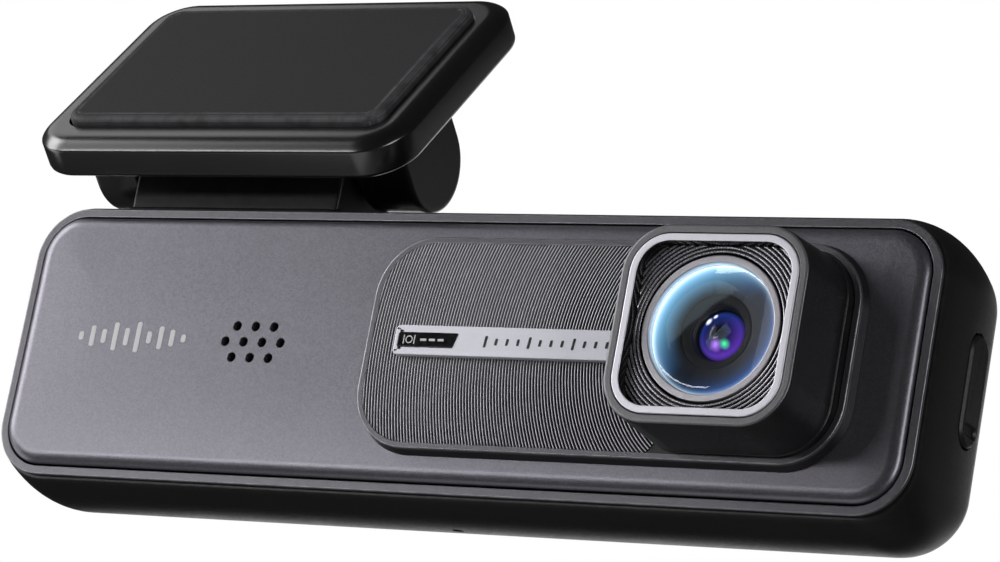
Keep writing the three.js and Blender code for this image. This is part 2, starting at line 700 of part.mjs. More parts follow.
// The neck's side view: two straight flanks and a round top about the hinge.
function neckOutline() {
  const points = [
    new THREE.Vector2(HINGE_Y - NECK_RADIUS, NECK_BASE),
    new THREE.Vector2(HINGE_Y + NECK_RADIUS, NECK_BASE),
  ];
  const steps = 18;
  for (let i = 0; i <= steps; i++) {
    const angle = (Math.PI * i) / steps;
    const y = HINGE_Y + NECK_RADIUS * Math.cos(angle);
    points.push(new THREE.Vector2(y, HINGE_Z + NECK_RADIUS * Math.sin(angle)));
  }
  return points;
}

add(
  camera,
  "hinge_neck",
  cut(
    prism(neckOutline(), HINGE_X - NECK_WIDTH / 2, HINGE_X + NECK_WIDTH / 2, ALONG_X),
    prism(
      circleOutline(HINGE_BORE, [HINGE_Y, HINGE_Z]),
      HINGE_X - NECK_WIDTH,
      HINGE_X + NECK_WIDTH,
      ALONG_X,
    ),
    ...neckScrewPlaces.map((x) => upright(SHANK_HOLE, [x, HINGE_Y], NECK_BASE - 1, NECK_PILOT_TOP)),
  ),
  NECK_PLASTIC,
);

neckScrewPlaces.forEach((x, i) => {
  const headTop = CEILING_AT_HINGE - 2 * SLIDE_FIT;
  const screw = join(
    upright(SCREW_HEAD, [x, HINGE_Y], headTop - 0.9, headTop, 24),
    upright(SCREW_SHANK, [x, HINGE_Y], headTop - 0.1, NECK_PILOT_TOP - SLIDE_FIT, 16),
  );
  add(camera, `neck_screw_${i + 1}`, screw, STEEL);
});

// ---------------------------------------------------------------- front bezel and panel

const frameInset = CASE_WALL + SEAM_GAP;
const RIM_LAP = 0.15; // thickness of the step that joins the rim to the plate
const boardScrewPlaces = [-1, 1].map((side) => [BOARD_SCREW_X, side * BOARD_SCREW_Z]);

add(
  camera,
  "front_bezel",
  cut(
    join(
      plate(
        roundedOutline(CASE_LENGTH, CASE_HEIGHT, CASE_CORNER),
        0,
        RIM_THICKNESS + RIM_LAP / 2,
        [insetOutline(CASE_LENGTH, CASE_HEIGHT, CASE_CORNER, RIM_WIDTH)],
      ),
      plate(
        insetOutline(CASE_LENGTH, CASE_HEIGHT, CASE_CORNER, frameInset),
        RIM_THICKNESS,
        FRAME_BACK,
      ),
      plate(
        insetOutline(CASE_LENGTH, CASE_HEIGHT, CASE_CORNER, RIM_WIDTH / 2),
        RIM_THICKNESS,
        RIM_THICKNESS + RIM_LAP,
        [insetOutline(CASE_LENGTH, CASE_HEIGHT, CASE_CORNER, frameInset + 1)],
      ),
      ...screwPlaces.map((place) => pin(POST_RADIUS, FRAME_BACK - BOSS_OVERLAP, BOSS_END, place, 24)),
      ...boardScrewPlaces.map((place) =>
        pin(BOARD_BOSS, FRAME_BACK - BOSS_OVERLAP, BOARD_DEPTH - GLUE_GAP, place, HOLE_SEGMENTS),
      ),
    ),
    ...screwPlaces.map((place) => pin(SHANK_HOLE, FRAME_BACK, BOSS_END + 1, place, HOLE_SEGMENTS)),
    ...boardScrewPlaces.map((place) =>
      pin(SHANK_HOLE, FRAME_BACK + 2, BOARD_DEPTH + 1, place, HOLE_SEGMENTS),
    ),
    pin(SPIGOT_HOLE, -1, FRAME_BACK + 1, LENS_CENTRE, 48),
    pin(SOUND_OPENING, -1, FRAME_BACK + 1, SPEAKER_CENTRE),
    pin(MESH_RADIUS + LINE_GAP, -1, RIM_THICKNESS + 0.5, SPEAKER_CENTRE),
  ),
  RIM_METAL,
);

// The grille: rows of three, four and three holes.
function grillePlaces() {
  const places = [];
  [3, 4, 3].forEach((count, row) => {
    for (let i = 0; i < count; i++) {
      const x = SPEAKER_X + GRILLE_PITCH * (i - (count - 1) / 2);
      places.push([x, SPEAKER_Z + GRILLE_ROW * (1 - row)]);
    }
  });
  return places;
}

// The panel's edge rolls over in a quarter of an ellipse.
function panelShape() {
  const sections = [];
  const steps = 5;
  const edge = insetOutline(CASE_LENGTH, CASE_HEIGHT, CASE_CORNER, PANEL_INSET);
  sections.push({ outline: edge, level: -PANEL_BACK });
  for (let i = 0; i <= steps; i++) {
    const angle = ((Math.PI / 2) * i) / steps;
    const inset = PANEL_INSET + PANEL_ROUND * (1 - Math.cos(angle));
    const level = PANEL_PROUD * Math.sin(angle);
    sections.push({ outline: insetOutline(CASE_LENGTH, CASE_HEIGHT, CASE_CORNER, inset), level });
  }
  return loft(sections, ALONG_DEPTH);
}

add(
  camera,
  "front_panel",
  cut(
    panelShape(),
    ...grillePlaces().map((place) => pin(GRILLE_HOLE, PANEL_FACE - 1, PANEL_BACK + 1, place, 14)),
    pin(SPIGOT_HOLE, PANEL_FACE - 1, PANEL_BACK + 1, LENS_CENTRE, 48),
  ),
  GUNMETAL,
);

// ---------------------------------------------------------------- speaker

const MESH_FRONT = RIM_THICKNESS + GLUE_GAP;
const meshDisc = pin(MESH_RADIUS, MESH_FRONT, MESH_FRONT + MESH_THICKNESS, SPEAKER_CENTRE);
add(camera, "speaker_mesh", meshDisc, CHIP_BLACK);
const GASKET_BACK = FRAME_BACK + GASKET_THICKNESS;
add(
  camera,
  "speaker_gasket",
  ring(
    SPEAKER_RADIUS - SLIDE_FIT,
    SOUND_OPENING + SLIDE_FIT,
    FRAME_BACK + GLUE_GAP,
    GASKET_BACK,
    SPEAKER_CENTRE,
    36,
  ),
  RUBBER,
);
const SPEAKER_FRONT = GASKET_BACK + GLUE_GAP;
add(
  camera,
  "speaker",
  join(
    pin(SPEAKER_RADIUS, SPEAKER_FRONT, SPEAKER_FRONT + SPEAKER_DEPTH / 2, SPEAKER_CENTRE, 36),
    pin(SPEAKER_RADIUS * MAGNET_SHARE, SPEAKER_FRONT, SPEAKER_FRONT + SPEAKER_DEPTH, SPEAKER_CENTRE, 36),
  ),
  STEEL,
);

// ---------------------------------------------------------------- island with its ripple plate

const RIPPLE_BACK = ISLAND_FACE + RIPPLE_THICKNESS;
const ISLAND_TOP = RIPPLE_BACK + GLUE_GAP;
const islandSection = (inset, depth) => ({
  outline: insetOutline(ISLAND_LENGTH, ISLAND_HEIGHT, ISLAND_CORNER, inset, ISLAND_CENTRE),
  level: -depth,
});

add(
  camera,
  "island_base",
  cut(
    loft(
      [islandSection(-ISLAND_DRAFT, PANEL_FACE - GLUE_GAP), islandSection(-RIPPLE_STEP, ISLAND_TOP)],
      ALONG_DEPTH,
    ),
    pin(SPIGOT_HOLE, ISLAND_FACE - 1, PANEL_FACE + 1, LENS_CENTRE, 48),
  ),
  ISLAND_BLACK,
);

add(
  camera,
  "ripple_plate",
  cut(
    loft(
      [
        islandSection(0, RIPPLE_BACK),
        islandSection(0, ISLAND_FACE + RIPPLE_EDGE),
        islandSection(RIPPLE_EDGE, ISLAND_FACE),
      ],
      ALONG_DEPTH,
    ),
    pin(SPIGOT_HOLE, ISLAND_FACE - 1, PANEL_FACE + 1, LENS_CENTRE, 48),
  ),
  RIPPLE_METAL,
);

// ---------------------------------------------------------------- badge strip

const BADGE_RIGHT = LENS_X - BLOCK_BASE / 2 - LINE_GAP;
const BADGE_BACK = ISLAND_FACE - GLUE_GAP;
const BADGE_FACE = BADGE_BACK - BADGE_THICKNESS;
const badgeLength = BADGE_RIGHT - BADGE_LEFT;
const badgeCentre = [(BADGE_LEFT + BADGE_RIGHT) / 2, FRONT_AXIS_HEIGHT];
const insetHeight = BADGE_HEIGHT - 2 * INSET_MARGIN;
const insetCentre = [BADGE_LEFT + INSET_MARGIN + INSET_LENGTH / 2, FRONT_AXIS_HEIGHT];
const INSET_BACK = BADGE_FACE + BADGE_THICKNESS / 2;

add(
  camera,
  "badge_strip",
  cut(
    plate(roundedOutline(badgeLength, BADGE_HEIGHT, 0.6, badgeCentre), BADGE_FACE, BADGE_BACK),
    plate(
      insetOutline(INSET_LENGTH, insetHeight, 0.4, -GLUE_GAP, insetCentre),
      BADGE_FACE - 1,
      INSET_BACK + GLUE_GAP,
    ),
  ),
  SILVER,
);
add(
  camera,
  "badge_inset",
  plate(roundedOutline(INSET_LENGTH, insetHeight, 0.4, insetCentre), BADGE_FACE - INSET_PROUD, INSET_BACK),
  CHIP_BLACK,
);

// ---------------------------------------------------------------- lens block

const TRIM_CORNER = BLOCK_CORNER - (BLOCK_SIZE - TRIM_SIZE) / 2;
const GROOVE_BACK = LENS_FACE + GROOVE_THICKNESS;
const POCKET_BACK = GROOVE_BACK + GLUE_GAP;
const blockSection = (inset, depth) => ({
  outline: insetOutline(BLOCK_SIZE, BLOCK_SIZE, BLOCK_CORNER, inset, LENS_CENTRE),
  level: -depth,
});
const trimOutline = (inset) => insetOutline(TRIM_SIZE, TRIM_SIZE, TRIM_CORNER, inset, LENS_CENTRE);

add(
  camera,
  "lens_housing",
  cut(
    join(
      loft(
        [
          blockSection(-BLOCK_DRAFT, ISLAND_FACE - GLUE_GAP),
          blockSection(0, BLOCK_FACE + BLOCK_EDGE),
          blockSection(BLOCK_EDGE * 0.3, BLOCK_FACE + BLOCK_EDGE * 0.3),
          blockSection(BLOCK_EDGE, BLOCK_FACE),
        ],
        ALONG_DEPTH,
      ),
      pin(SPIGOT_RADIUS, ISLAND_FACE - 0.5, FRAME_BACK - GLUE_GAP, LENS_CENTRE, 48),
    ),
    plate(trimOutline(-LINE_GAP / 2), BLOCK_FACE - 1, POCKET_BACK),
    pin(BLOCK_BORE, BLOCK_FACE - 1, FRAME_BACK + 1, LENS_CENTRE, 48),
    pin(LENS_RING_RADIUS + LINE_GAP, BLOCK_FACE - 1, POCKET_BACK + 1, LENS_CENTRE, 48),
  ),
  ISLAND_BLACK,
);

add(
  camera,
  "lens_trim_ring",
  plate(trimOutline(0), BLOCK_FACE - TRIM_PROUD, GROOVE_BACK, [trimOutline(TRIM_WIDTH)]),
  LILAC_METAL,
);

add(
  camera,
  "groove_plate",
  plate(trimOutline(TRIM_WIDTH + GLUE_GAP), LENS_FACE, GROOVE_BACK, [
    circleOutline(LENS_RING_RADIUS + LINE_GAP, LENS_CENTRE, 64),
  ]),
  RIPPLE_METAL,
);

const GLASS_BACK = LENS_FACE + GLASS_THICKNESS;
const RING_BACK = GLASS_BACK + 0.6;
const GLASS_SEAT = GLASS_BACK + GLUE_GAP;
add(
  camera,
  "lens_ring",
  turned([
    [GLASS_RADIUS + GLUE_GAP, LENS_FACE],
    [LENS_RING_RADIUS, LENS_FACE],
    [LENS_RING_RADIUS, RING_BACK],
    [BAFFLE_HOLE + 2, RING_BACK],
    [BAFFLE_HOLE + 2, GLASS_SEAT],
    [GLASS_RADIUS + GLUE_GAP, GLASS_SEAT],
    [GLASS_RADIUS + GLUE_GAP, LENS_FACE],
  ], 56),
  RIM_METAL,
);

add(
  camera,
  "cover_glass",
  turned([
    [0, LENS_FACE],
    [GLASS_RADIUS - 0.25, LENS_FACE],
    [GLASS_RADIUS, LENS_FACE + 0.2],
    [GLASS_RADIUS, GLASS_BACK],
    [0, GLASS_BACK],
  ], 56),
  GLASS,
);

// ---------------------------------------------------------------- lens barrel and what it holds

const ELEMENT_FRONT = LENS_FACE + ELEMENT_DEPTH;
const BARREL_FRONT = RING_BACK + 0.7;
const BARREL_BACK = 3.4;
const REAR_ELEMENT = 3.2;
const REAR_FRONT = 0.4;

add(
  camera,
  "light_baffle",
  turned([
    [BAFFLE_HOLE, RING_BACK + 0.3],
    [BARREL_RADIUS, RING_BACK + GLUE_GAP],
    [BARREL_RADIUS, BARREL_FRONT - GLUE_GAP],
    [BAFFLE_HOLE, BARREL_FRONT - GLUE_GAP],
    [BAFFLE_HOLE, RING_BACK + 0.3],
  ]),
  BAFFLE_GREY,
);

add(
  camera,
  "lens_barrel",
  turned([
    [ELEMENT_RADIUS + GLUE_GAP, BARREL_FRONT],
    [BARREL_RADIUS, BARREL_FRONT],
    [BARREL_RADIUS, BARREL_BACK],
    [REAR_ELEMENT + GLUE_GAP, BARREL_BACK],
    [REAR_ELEMENT + GLUE_GAP, REAR_FRONT - GLUE_GAP],
    [ELEMENT_RADIUS + GLUE_GAP, REAR_FRONT - GLUE_GAP],
    [ELEMENT_RADIUS + GLUE_GAP, BARREL_FRONT],
  ]),
  CHIP_BLACK,
);

// The profile of a lens element: a front face of one curve, a straight rim and a back of another.
// A face's sag is how far its middle stands forward of its edge.
function elementProfile(radius, front, back, frontSag, backSag) {
  const points = [];
  const steps = 4;
  for (let i = 0; i <= steps; i++) {
    const r = (radius * i) / steps;
    points.push([r, front + frontSag * (i / steps) ** 2]);
  }
  for (let i = steps; i >= 0; i--) {
    const r = (radius * i) / steps;
    points.push([r, back + backSag * (i / steps) ** 2]);
  }
  return points;
}

add(
  camera,
  "front_element",
  turned(elementProfile(ELEMENT_RADIUS, ELEMENT_FRONT, ELEMENT_FRONT + 1.7, 0.9, 0.5)),
  COATED_GLASS,
);
add(
  camera,
  "second_element",
  turned(elementProfile(ELEMENT_RADIUS, ELEMENT_FRONT + 2.7, ELEMENT_FRONT + 4.1, 0.3, -0.4)),
  COATED_GLASS,
);
add(
  camera,
  "aperture_stop",
  ring(ELEMENT_RADIUS, 1.1, ELEMENT_FRONT + 4.8, ELEMENT_FRONT + 5.1, LENS_CENTRE, 32),
  CHIP_BLACK,
);
add(
  camera,
  "rear_element",
  turned(elementProfile(REAR_ELEMENT, REAR_FRONT, REAR_FRONT + 2, 0.6, -0.4)),
  COATED_GLASS,
);

// ---------------------------------------------------------------- sensor behind the lens

const HOLDER_HALF = 8;
const HOLDER_FRONT = FRAME_BACK + GLUE_GAP;
const HOLDER_BACK = SENSOR_DEPTH - GLUE_GAP;
const SENSOR_HALF = 3.6;
const SENSOR_FRONT = HOLDER_BACK - 0.9;
const FILTER_HALF = 3.2;
const FILTER_FRONT = BARREL_BACK + 0.6;
const squareOutline = (half) => smallOutline(2 * half, 2 * half, LENS_CENTRE);

add(
  camera,
  "lens_holder",
  cut(
    plate(squareOutline(HOLDER_HALF), HOLDER_FRONT, HOLDER_BACK),
    pin(BARREL_RADIUS + SLIDE_FIT, HOLDER_FRONT - 1, BARREL_BACK + 0.2, LENS_CENTRE, 48),
    plate(squareOutline(FILTER_HALF + GLUE_GAP), FILTER_FRONT - 1, HOLDER_BACK),
    plate(squareOutline(SENSOR_HALF + SLIDE_FIT), SENSOR_FRONT - 0.4, HOLDER_BACK + 1),
  ),
  CHIP_BLACK,
);
add(camera, "infrared_filter", plate(squareOutline(FILTER_HALF), FILTER_FRONT, FILTER_FRONT + 0.4), GLASS);
add(camera, "image_sensor", plate(squareOutline(SENSOR_HALF), SENSOR_FRONT, HOLDER_BACK - 0.05), CHIP_BLACK);
add(
  camera,
  "sensor_board",
  plate(squareOutline(HOLDER_HALF), SENSOR_DEPTH, SENSOR_DEPTH + 1),
  BOARD_GREEN,
);

// A flat cable steps back from the sensor board's edge to the main board.
function flexOutline() {
  const start = LENS_X - HOLDER_HALF + 2;
  const end = start - 7;
  const front = SENSOR_DEPTH + 1 + GLUE_GAP;
  const back = BOARD_DEPTH - GLUE_GAP;
  const thickness = 0.3;
  return [
    [start, front],
    [start, front + thickness],
    [start - 2.6, front + thickness],
    [start - 4, back],
    [end, back],
    [end, back - thickness],
    [start - 4.4, back - thickness],
    [start - 3, front],
  ].map(([x, y]) => new THREE.Vector2(x, y));
}

add(
  camera,
  "sensor_flex",
  prism(flexOutline(), FRONT_AXIS_HEIGHT - 4, FRONT_AXIS_HEIGHT + 4, ALONG_Z),
  FLEX_AMBER,
);

// ---------------------------------------------------------------- main board and what it carries

const BOARD_LENGTH = CASE_LENGTH - 2 * BOARD_END_GAP;
add(
  camera,
  "main_board",
  plate(roundedOutline(BOARD_LENGTH, BOARD_HEIGHT, 1), BOARD_DEPTH, BOARD_BACK, [
    ...boardScrewPlaces.map((place) => circleOutline(SHANK_HOLE, place, 16)),
  ]).subtract(
    join(...screwPlaces.map((place) => pin(POST_RADIUS + SLIDE_FIT, 0, CASE_DEPTH, place, 24))),
  ),
  BOARD_GREEN,
);

boardScrewPlaces.forEach((place, i) => {
  const headFront = BOARD_BACK + GLUE_GAP;
  const screw = join(
    pin(SCREW_HEAD, headFront, headFront + 0.9, place, 24),
    pin(SCREW_SHANK, FRAME_BACK + 3, headFront + 0.1, place, 16),
  );
  add(camera, `board_screw_${i + 1}`, screw, STEEL);
});

// A chip or other flat block on the back of the main board.
function onBoard(width, height, thickness, centre) {
  const front = BOARD_BACK + GLUE_GAP;
  return plate(smallOutline(width, height, centre), front, front + thickness);
}

const PROCESSOR_CENTRE = [PROCESSOR_X, FRONT_AXIS_HEIGHT];
const PROCESSOR_BACK = BOARD_BACK + GLUE_GAP + 1.2;
const THERMAL_BACK = PROCESSOR_BACK + 0.9;
add(camera, "processor", onBoard(12, 12, 1.2, PROCESSOR_CENTRE), CHIP_BLACK);
add(
  camera,
  "thermal_pad",
  plate(smallOutline(11, 11, PROCESSOR_CENTRE), PROCESSOR_BACK + GLUE_GAP, THERMAL_BACK),
  THERMAL_GREY,
);
add(
  camera,
  "heat_spreader",
  plate(smallOutline(26, 18, PROCESSOR_CENTRE), THERMAL_BACK + GLUE_GAP, THERMAL_BACK + 1.1),
  ALUMINIUM,
);
add(camera, "memory_chip", onBoard(9, 12, 1, [24, FRONT_AXIS_HEIGHT]), CHIP_BLACK);
add(camera, "wireless_module", onBoard(12, 14, 1.9, [-44, 0]), ALUMINIUM);

const CAPACITOR_RADIUS = 4;
const CAPACITOR_LEFT = -SCREW_X + POST_RADIUS + SLIDE_FIT;
const CAPACITOR_RIGHT = SPEAKER_X - SPEAKER_RADIUS - SLIDE_FIT;
[-1, 1].forEach((side, i) => {
  const centre = [FRAME_BACK + SLIDE_FIT + CAPACITOR_RADIUS, side * (CAPACITOR_RADIUS + 0.2)];
  const can = prism(
    circleOutline(CAPACITOR_RADIUS, centre, 28),
    CAPACITOR_LEFT,
    CAPACITOR_RIGHT,
    ALONG_X,
  );
  add(camera, `supercapacitor_${i + 1}`, can, SLEEVE_BLUE);
});

// ---------------------------------------------------------------- power socket

const USB_LEFT = -CASE_END - END_SWELL * swellAt(USB_DEPTH) + 0.5;
const usbTongue = roundedOutline(TONGUE_THICKNESS, TONGUE_WIDTH, 0.2, [USB_DEPTH, 0], SMALL_STEPS);
const usbShell = (inset) => insetOutline(USB_THICKNESS, USB_WIDTH, 1.45, inset, [USB_DEPTH, 0]);
add(
  camera,
  "usb_socket",
  join(
    cut(
      prism(usbShell(0), USB_LEFT, USB_LEFT + USB_LENGTH, ALONG_X),
      prism(usbShell(USB_WALL), USB_LEFT - 1, USB_LEFT + USB_LENGTH - USB_FLOOR, ALONG_X),
    ),
    prism(usbTongue, USB_LEFT + TONGUE_SET_BACK, USB_LEFT + USB_LENGTH - USB_FLOOR / 2, ALONG_X),
  ),
  STEEL,
);

// ---------------------------------------------------------------- memory card, socket and door

const CARD_RIGHT = POCKET_FLOOR - GLUE_GAP;
const CARD_LEFT = CARD_RIGHT - CARD_LENGTH;
const SOCKET_RIGHT = CARD_BOSS_START - SLIDE_FIT;
const SOCKET_LEFT = CARD_LEFT - CARD_PUSH - 0.8;
const SOCKET_BACK = BOARD_DEPTH - GLUE_GAP;
const SOCKET_FRONT = CARD_DEPTH - (SOCKET_BACK - CARD_DEPTH);

add(
  camera,
  "card_socket",
  cut(
    block(
      [SOCKET_LEFT, SOCKET_FRONT, SOCKET_BOTTOM],
      [SOCKET_RIGHT, SOCKET_BACK, SOCKET_TOP],
    ),
    block(
      [CARD_LEFT - CARD_PUSH, CARD_DEPTH - CARD_THICKNESS / 2 - 0.2, CARD_HEIGHT - CARD_WIDTH / 2 - 0.2],
      [SOCKET_RIGHT + 1, CARD_DEPTH + CARD_THICKNESS / 2 + 0.2, CARD_HEIGHT + CARD_WIDTH / 2 + 0.2],
    ),
  ),
  STEEL,
);

// The card, with the step in one long edge that keeps it from going in backwards.
function cardOutline() {
  const low = CARD_HEIGHT - CARD_WIDTH / 2;
  const high = CARD_HEIGHT + CARD_WIDTH / 2;
  return [
    [CARD_LEFT, low],
    [CARD_RIGHT, low],
    [CARD_RIGHT, high],
    [CARD_LEFT + 8, high],
    [CARD_LEFT + 7, high - 1],
    [CARD_LEFT, high - 1],
  ].map(([x, z]) => new THREE.Vector2(x, z));
}

add(
  camera,
  "memory_card",
  plate(cardOutline(), CARD_DEPTH - CARD_THICKNESS / 2, CARD_DEPTH + CARD_THICKNESS / 2),
  CHIP_BLACK,
);

const doorSection = (inset, level) => ({
  outline: insetOutline(DOOR_WIDTH, DOOR_LENGTH, DOOR_WIDTH / 2, inset, SLOT_CENTRE),
  level,
});
const DOOR_FACE = END_AT_CARD + DOOR_PROUD;
add(
  camera,
  "card_door",
  loft(
    [
      doorSection(LINE_GAP / 2, DOOR_FACE - DOOR_BEVEL - DOOR_THICKNESS),
      doorSection(LINE_GAP / 2, DOOR_FACE - DOOR_BEVEL),
      doorSection(LINE_GAP / 2 + DOOR_BEVEL, DOOR_FACE),
    ],
    ALONG_X,
  ),
  RUBBER,
);

// ---------------------------------------------------------------- rear button, lamp, microphone

const SWITCH_BODY_BACK = BOARD_BACK + GLUE_GAP + 1.5;
const SWITCH_TIP = SWITCH_BODY_BACK + 0.4;
const STEM_FRONT = SWITCH_TIP + BUTTON_TRAVEL + GLUE_GAP;
const FLANGE_BACK = INNER_BACK - GLUE_GAP;
add(
  camera,
  "button_switch",
  join(
    onBoard(5, 5, 1.5, BUTTON_CENTRE),
    pin(1.3, BOARD_BACK + 1, SWITCH_TIP, BUTTON_CENTRE, 20),
  ),
  STEEL,
);
add(
  camera,
  "rear_button",
  join(
    pin(BUTTON_RADIUS, FLANGE_BACK - BUTTON_FLANGE / 2, CASE_DEPTH + BUTTON_PROUD, BUTTON_CENTRE, 40),
    pin(BUTTON_RADIUS + 1, FLANGE_BACK - BUTTON_FLANGE, FLANGE_BACK, BUTTON_CENTRE, 40),
    pin(1.4, STEM_FRONT, FLANGE_BACK, BUTTON_CENTRE, 20),
  ),
  NECK_PLASTIC,
);
add(camera, "status_lamp", onBoard(2, 1.4, 0.7, LAMP_CENTRE), LAMP_WHITE);
add(
  camera,
  "light_pipe",
  join(
    pin(LAMP_RADIUS, BOARD_BACK + 1.1, CASE_DEPTH - 0.1, LAMP_CENTRE, 20),
    pin(LAMP_RADIUS + 0.9, INNER_BACK - 0.8, INNER_BACK - GLUE_GAP, LAMP_CENTRE, 20),
  ),
  LAMP_WHITE,
);
const MICROPHONE_FLOOR = BOTTOM_AT_BOARD + CASE_WALL + 2 * SLIDE_FIT;
add(
  camera,
  "microphone",
  upright(
    MICROPHONE_RADIUS,
    [0, BOARD_DEPTH - MICROPHONE_RADIUS - GLUE_GAP],
    MICROPHONE_FLOOR,
    MICROPHONE_FLOOR + MICROPHONE_HEIGHT,
    24,
  ),
  STEEL,
);

// ---------------------------------------------------------------- assembly

bracket.rotation.x = THREE.MathUtils.degToRad(SLOPE);
bracket.updateMatrixWorld(true);
camera.position.copy(HINGE_IN_BRACKET).applyMatrix4(bracket.matrixWorld).sub(HINGE_IN_CASE);

const dashCamera = new THREE.Group();
dashCamera.add(bracket, camera);

export default dashCamera;
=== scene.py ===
# %% [markdown]
# # A dash camera on its windscreen bracket
#
# This lesson dresses a small dash camera for a portrait. The engineering model gives the frame:
# where each part is, how big it is and what it turns about. Blender makes the surfaces that the
# eye reads: soft edges, blasted paint, turned ripples, coated glass. Lengths are in metres in
# Blender, and the sizes below are written in millimetres, as a maker would.

# %% Open the frame
import math

import bmesh
import bpy
import numpy as np
from mathutils import Matrix, Vector


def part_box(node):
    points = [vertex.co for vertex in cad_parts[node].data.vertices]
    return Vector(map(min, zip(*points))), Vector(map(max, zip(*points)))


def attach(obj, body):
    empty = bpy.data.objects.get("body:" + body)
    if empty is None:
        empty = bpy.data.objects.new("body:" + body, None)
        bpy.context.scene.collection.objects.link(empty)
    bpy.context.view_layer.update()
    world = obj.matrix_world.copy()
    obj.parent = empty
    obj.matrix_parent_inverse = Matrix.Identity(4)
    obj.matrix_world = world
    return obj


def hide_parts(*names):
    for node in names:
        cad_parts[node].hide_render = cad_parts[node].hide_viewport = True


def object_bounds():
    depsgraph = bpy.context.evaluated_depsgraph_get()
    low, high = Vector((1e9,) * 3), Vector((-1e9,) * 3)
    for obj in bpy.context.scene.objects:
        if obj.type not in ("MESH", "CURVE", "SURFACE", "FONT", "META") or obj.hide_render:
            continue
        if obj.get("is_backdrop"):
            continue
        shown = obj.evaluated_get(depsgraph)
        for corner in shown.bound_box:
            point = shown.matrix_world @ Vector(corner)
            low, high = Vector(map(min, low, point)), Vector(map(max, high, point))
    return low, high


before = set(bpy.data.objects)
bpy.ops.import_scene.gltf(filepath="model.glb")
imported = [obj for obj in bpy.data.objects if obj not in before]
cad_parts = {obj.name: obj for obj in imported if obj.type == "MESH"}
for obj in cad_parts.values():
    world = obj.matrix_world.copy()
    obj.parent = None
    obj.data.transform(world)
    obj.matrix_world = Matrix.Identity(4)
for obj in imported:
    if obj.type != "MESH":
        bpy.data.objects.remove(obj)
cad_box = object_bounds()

# %% [markdown]
# ## The camera that takes the picture
#
# The portrait is taken from low down on the right with a long lens, so that the body keeps its
# proportions and its underside shows. The camera could be aimed with a constraint, but three
# plain directions (right, up and back) say exactly how it is turned, and nothing can move it.

# %% Place the camera
CAMERA_PLACE = (0.26044, -0.370157, -0.144735)
camera_data = bpy.data.cameras.new("portrait_camera")
camera_data.lens = 153.15
camera_data.sensor_width = 36
camera_data.sensor_fit = "HORIZONTAL"
camera_data.clip_start = 0.01
camera = bpy.data.objects.new("portrait_camera", camera_data)
camera_right = Vector((0.8648, 0.4706, 0.1750)).normalized()
camera_back = Vector((0.5018, -0.8231, -0.2660)).normalized()
camera_up = camera_back.cross(camera_right).normalized()
camera_right = camera_up.cross(camera_back)
turned_to = Matrix((camera_right, camera_up, camera_back)).transposed().to_4x4()
camera.matrix_world = Matrix.Translation(CAMERA_PLACE) @ turned_to
bpy.context.scene.collection.objects.link(camera)
bpy.context.scene.camera = camera
print("camera at", tuple(round(x, 3) for x in camera.location))

# %% [markdown]
# ## Two ways of measuring
#
# The camera body is easiest to draw square-on: x along it, depth backwards from the bezel's face,
# z up. The bracket lies on a sloping windscreen, so it is drawn with x along its plate, y up the
# slope and z out through the pad. One small function per system turns such millimetres into
# places in the scene. Drawing a sloping part straight in scene coordinates would work too, but
# no number in it could be checked with a ruler.

# %% Two measuring systems
MM = 0.001
CASE_ORIGIN = np.array([32.75, -4.817193, -34.624977])
SLOPE = math.radians(50.8)


def case_to_scene(points):
    return (np.asarray(points, float) + CASE_ORIGIN) * MM


def bracket_to_scene(points):
    x, y, z = np.asarray(points, float).T
    up = y * math.cos(SLOPE) - z * math.sin(SLOPE)
    out = y * math.sin(SLOPE) + z * math.cos(SLOPE)
    return np.stack([x, up, out], axis=1) * MM


for corner in ("front_bezel", "mount_bracket"):
    low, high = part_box(corner)
    print(corner, "in mm:", [round(1000 * v, 1) for v in (*low, *high)])

# %% [markdown]
# ## Outlines
#
# Almost every part here is a rectangle with round corners, or a disc. An outline is a ring of
# points, and an outline that is drawn in by some distance keeps the same number of points, so
# that two of them can be joined with a clean band of faces.

# %% Outlines
CORNER_STEPS = 18


def rounded(width, height, radius, centre=(0, 0), inset=0.0, steps=CORNER_STEPS):
    """A rectangle with round corners, drawn in by inset, as points that run anticlockwise."""
    half_width = width / 2 - inset
    half_height = height / 2 - inset
    corner = min(max(radius - inset, 0.05), half_width - 0.001, half_height - 0.001)
    points = []
    for quarter, (sx, sy) in enumerate([(1, 1), (-1, 1), (-1, -1), (1, -1)]):
        for i in range(steps + 1):
            angle = math.pi / 2 * (quarter + i / steps)
            x = centre[0] + sx * (half_width - corner) + corner * math.cos(angle)
            y = centre[1] + sy * (half_height - corner) + corner * math.sin(angle)
            points.append((x, y))
    return np.array(points)


def circle(radius, centre=(0, 0), steps=96):
    angles = 2 * math.pi * np.arange(steps) / steps
    return np.stack([centre[0] + radius * np.cos(angles), centre[1] + radius * np.sin(angles)], 1)


def shrink(outline, inset):
    """Any outline, anticlockwise, with each side moved inwards by the same distance."""
    before = outline - np.roll(outline, 1, 0)
    after = np.roll(outline, -1, 0) - outline
    normals = []
    for side in (before, after):
        length = np.maximum(np.linalg.norm(side, axis=1, keepdims=True), 1e-9)
        normals.append(np.stack([-side[:, 1], side[:, 0]], 1) / length)
    middle = normals[0] + normals[1]
    middle /= np.maximum(np.linalg.norm(middle, axis=1, keepdims=True), 1e-9)
    reach = np.maximum((middle * normals[0]).sum(1, keepdims=True), 0.5)
    return outline + middle * inset / reach


def across(outline, depth):
    """An outline drawn in x and z, at a depth."""
    return np.stack([outline[:, 0], np.full(len(outline), depth), outline[:, 1]], 1)


def sideways(outline, x):
    """An outline drawn in depth and z, at a place along the body."""
    return np.stack([np.full(len(outline), x), outline[:, 0], outline[:, 1]], 1)


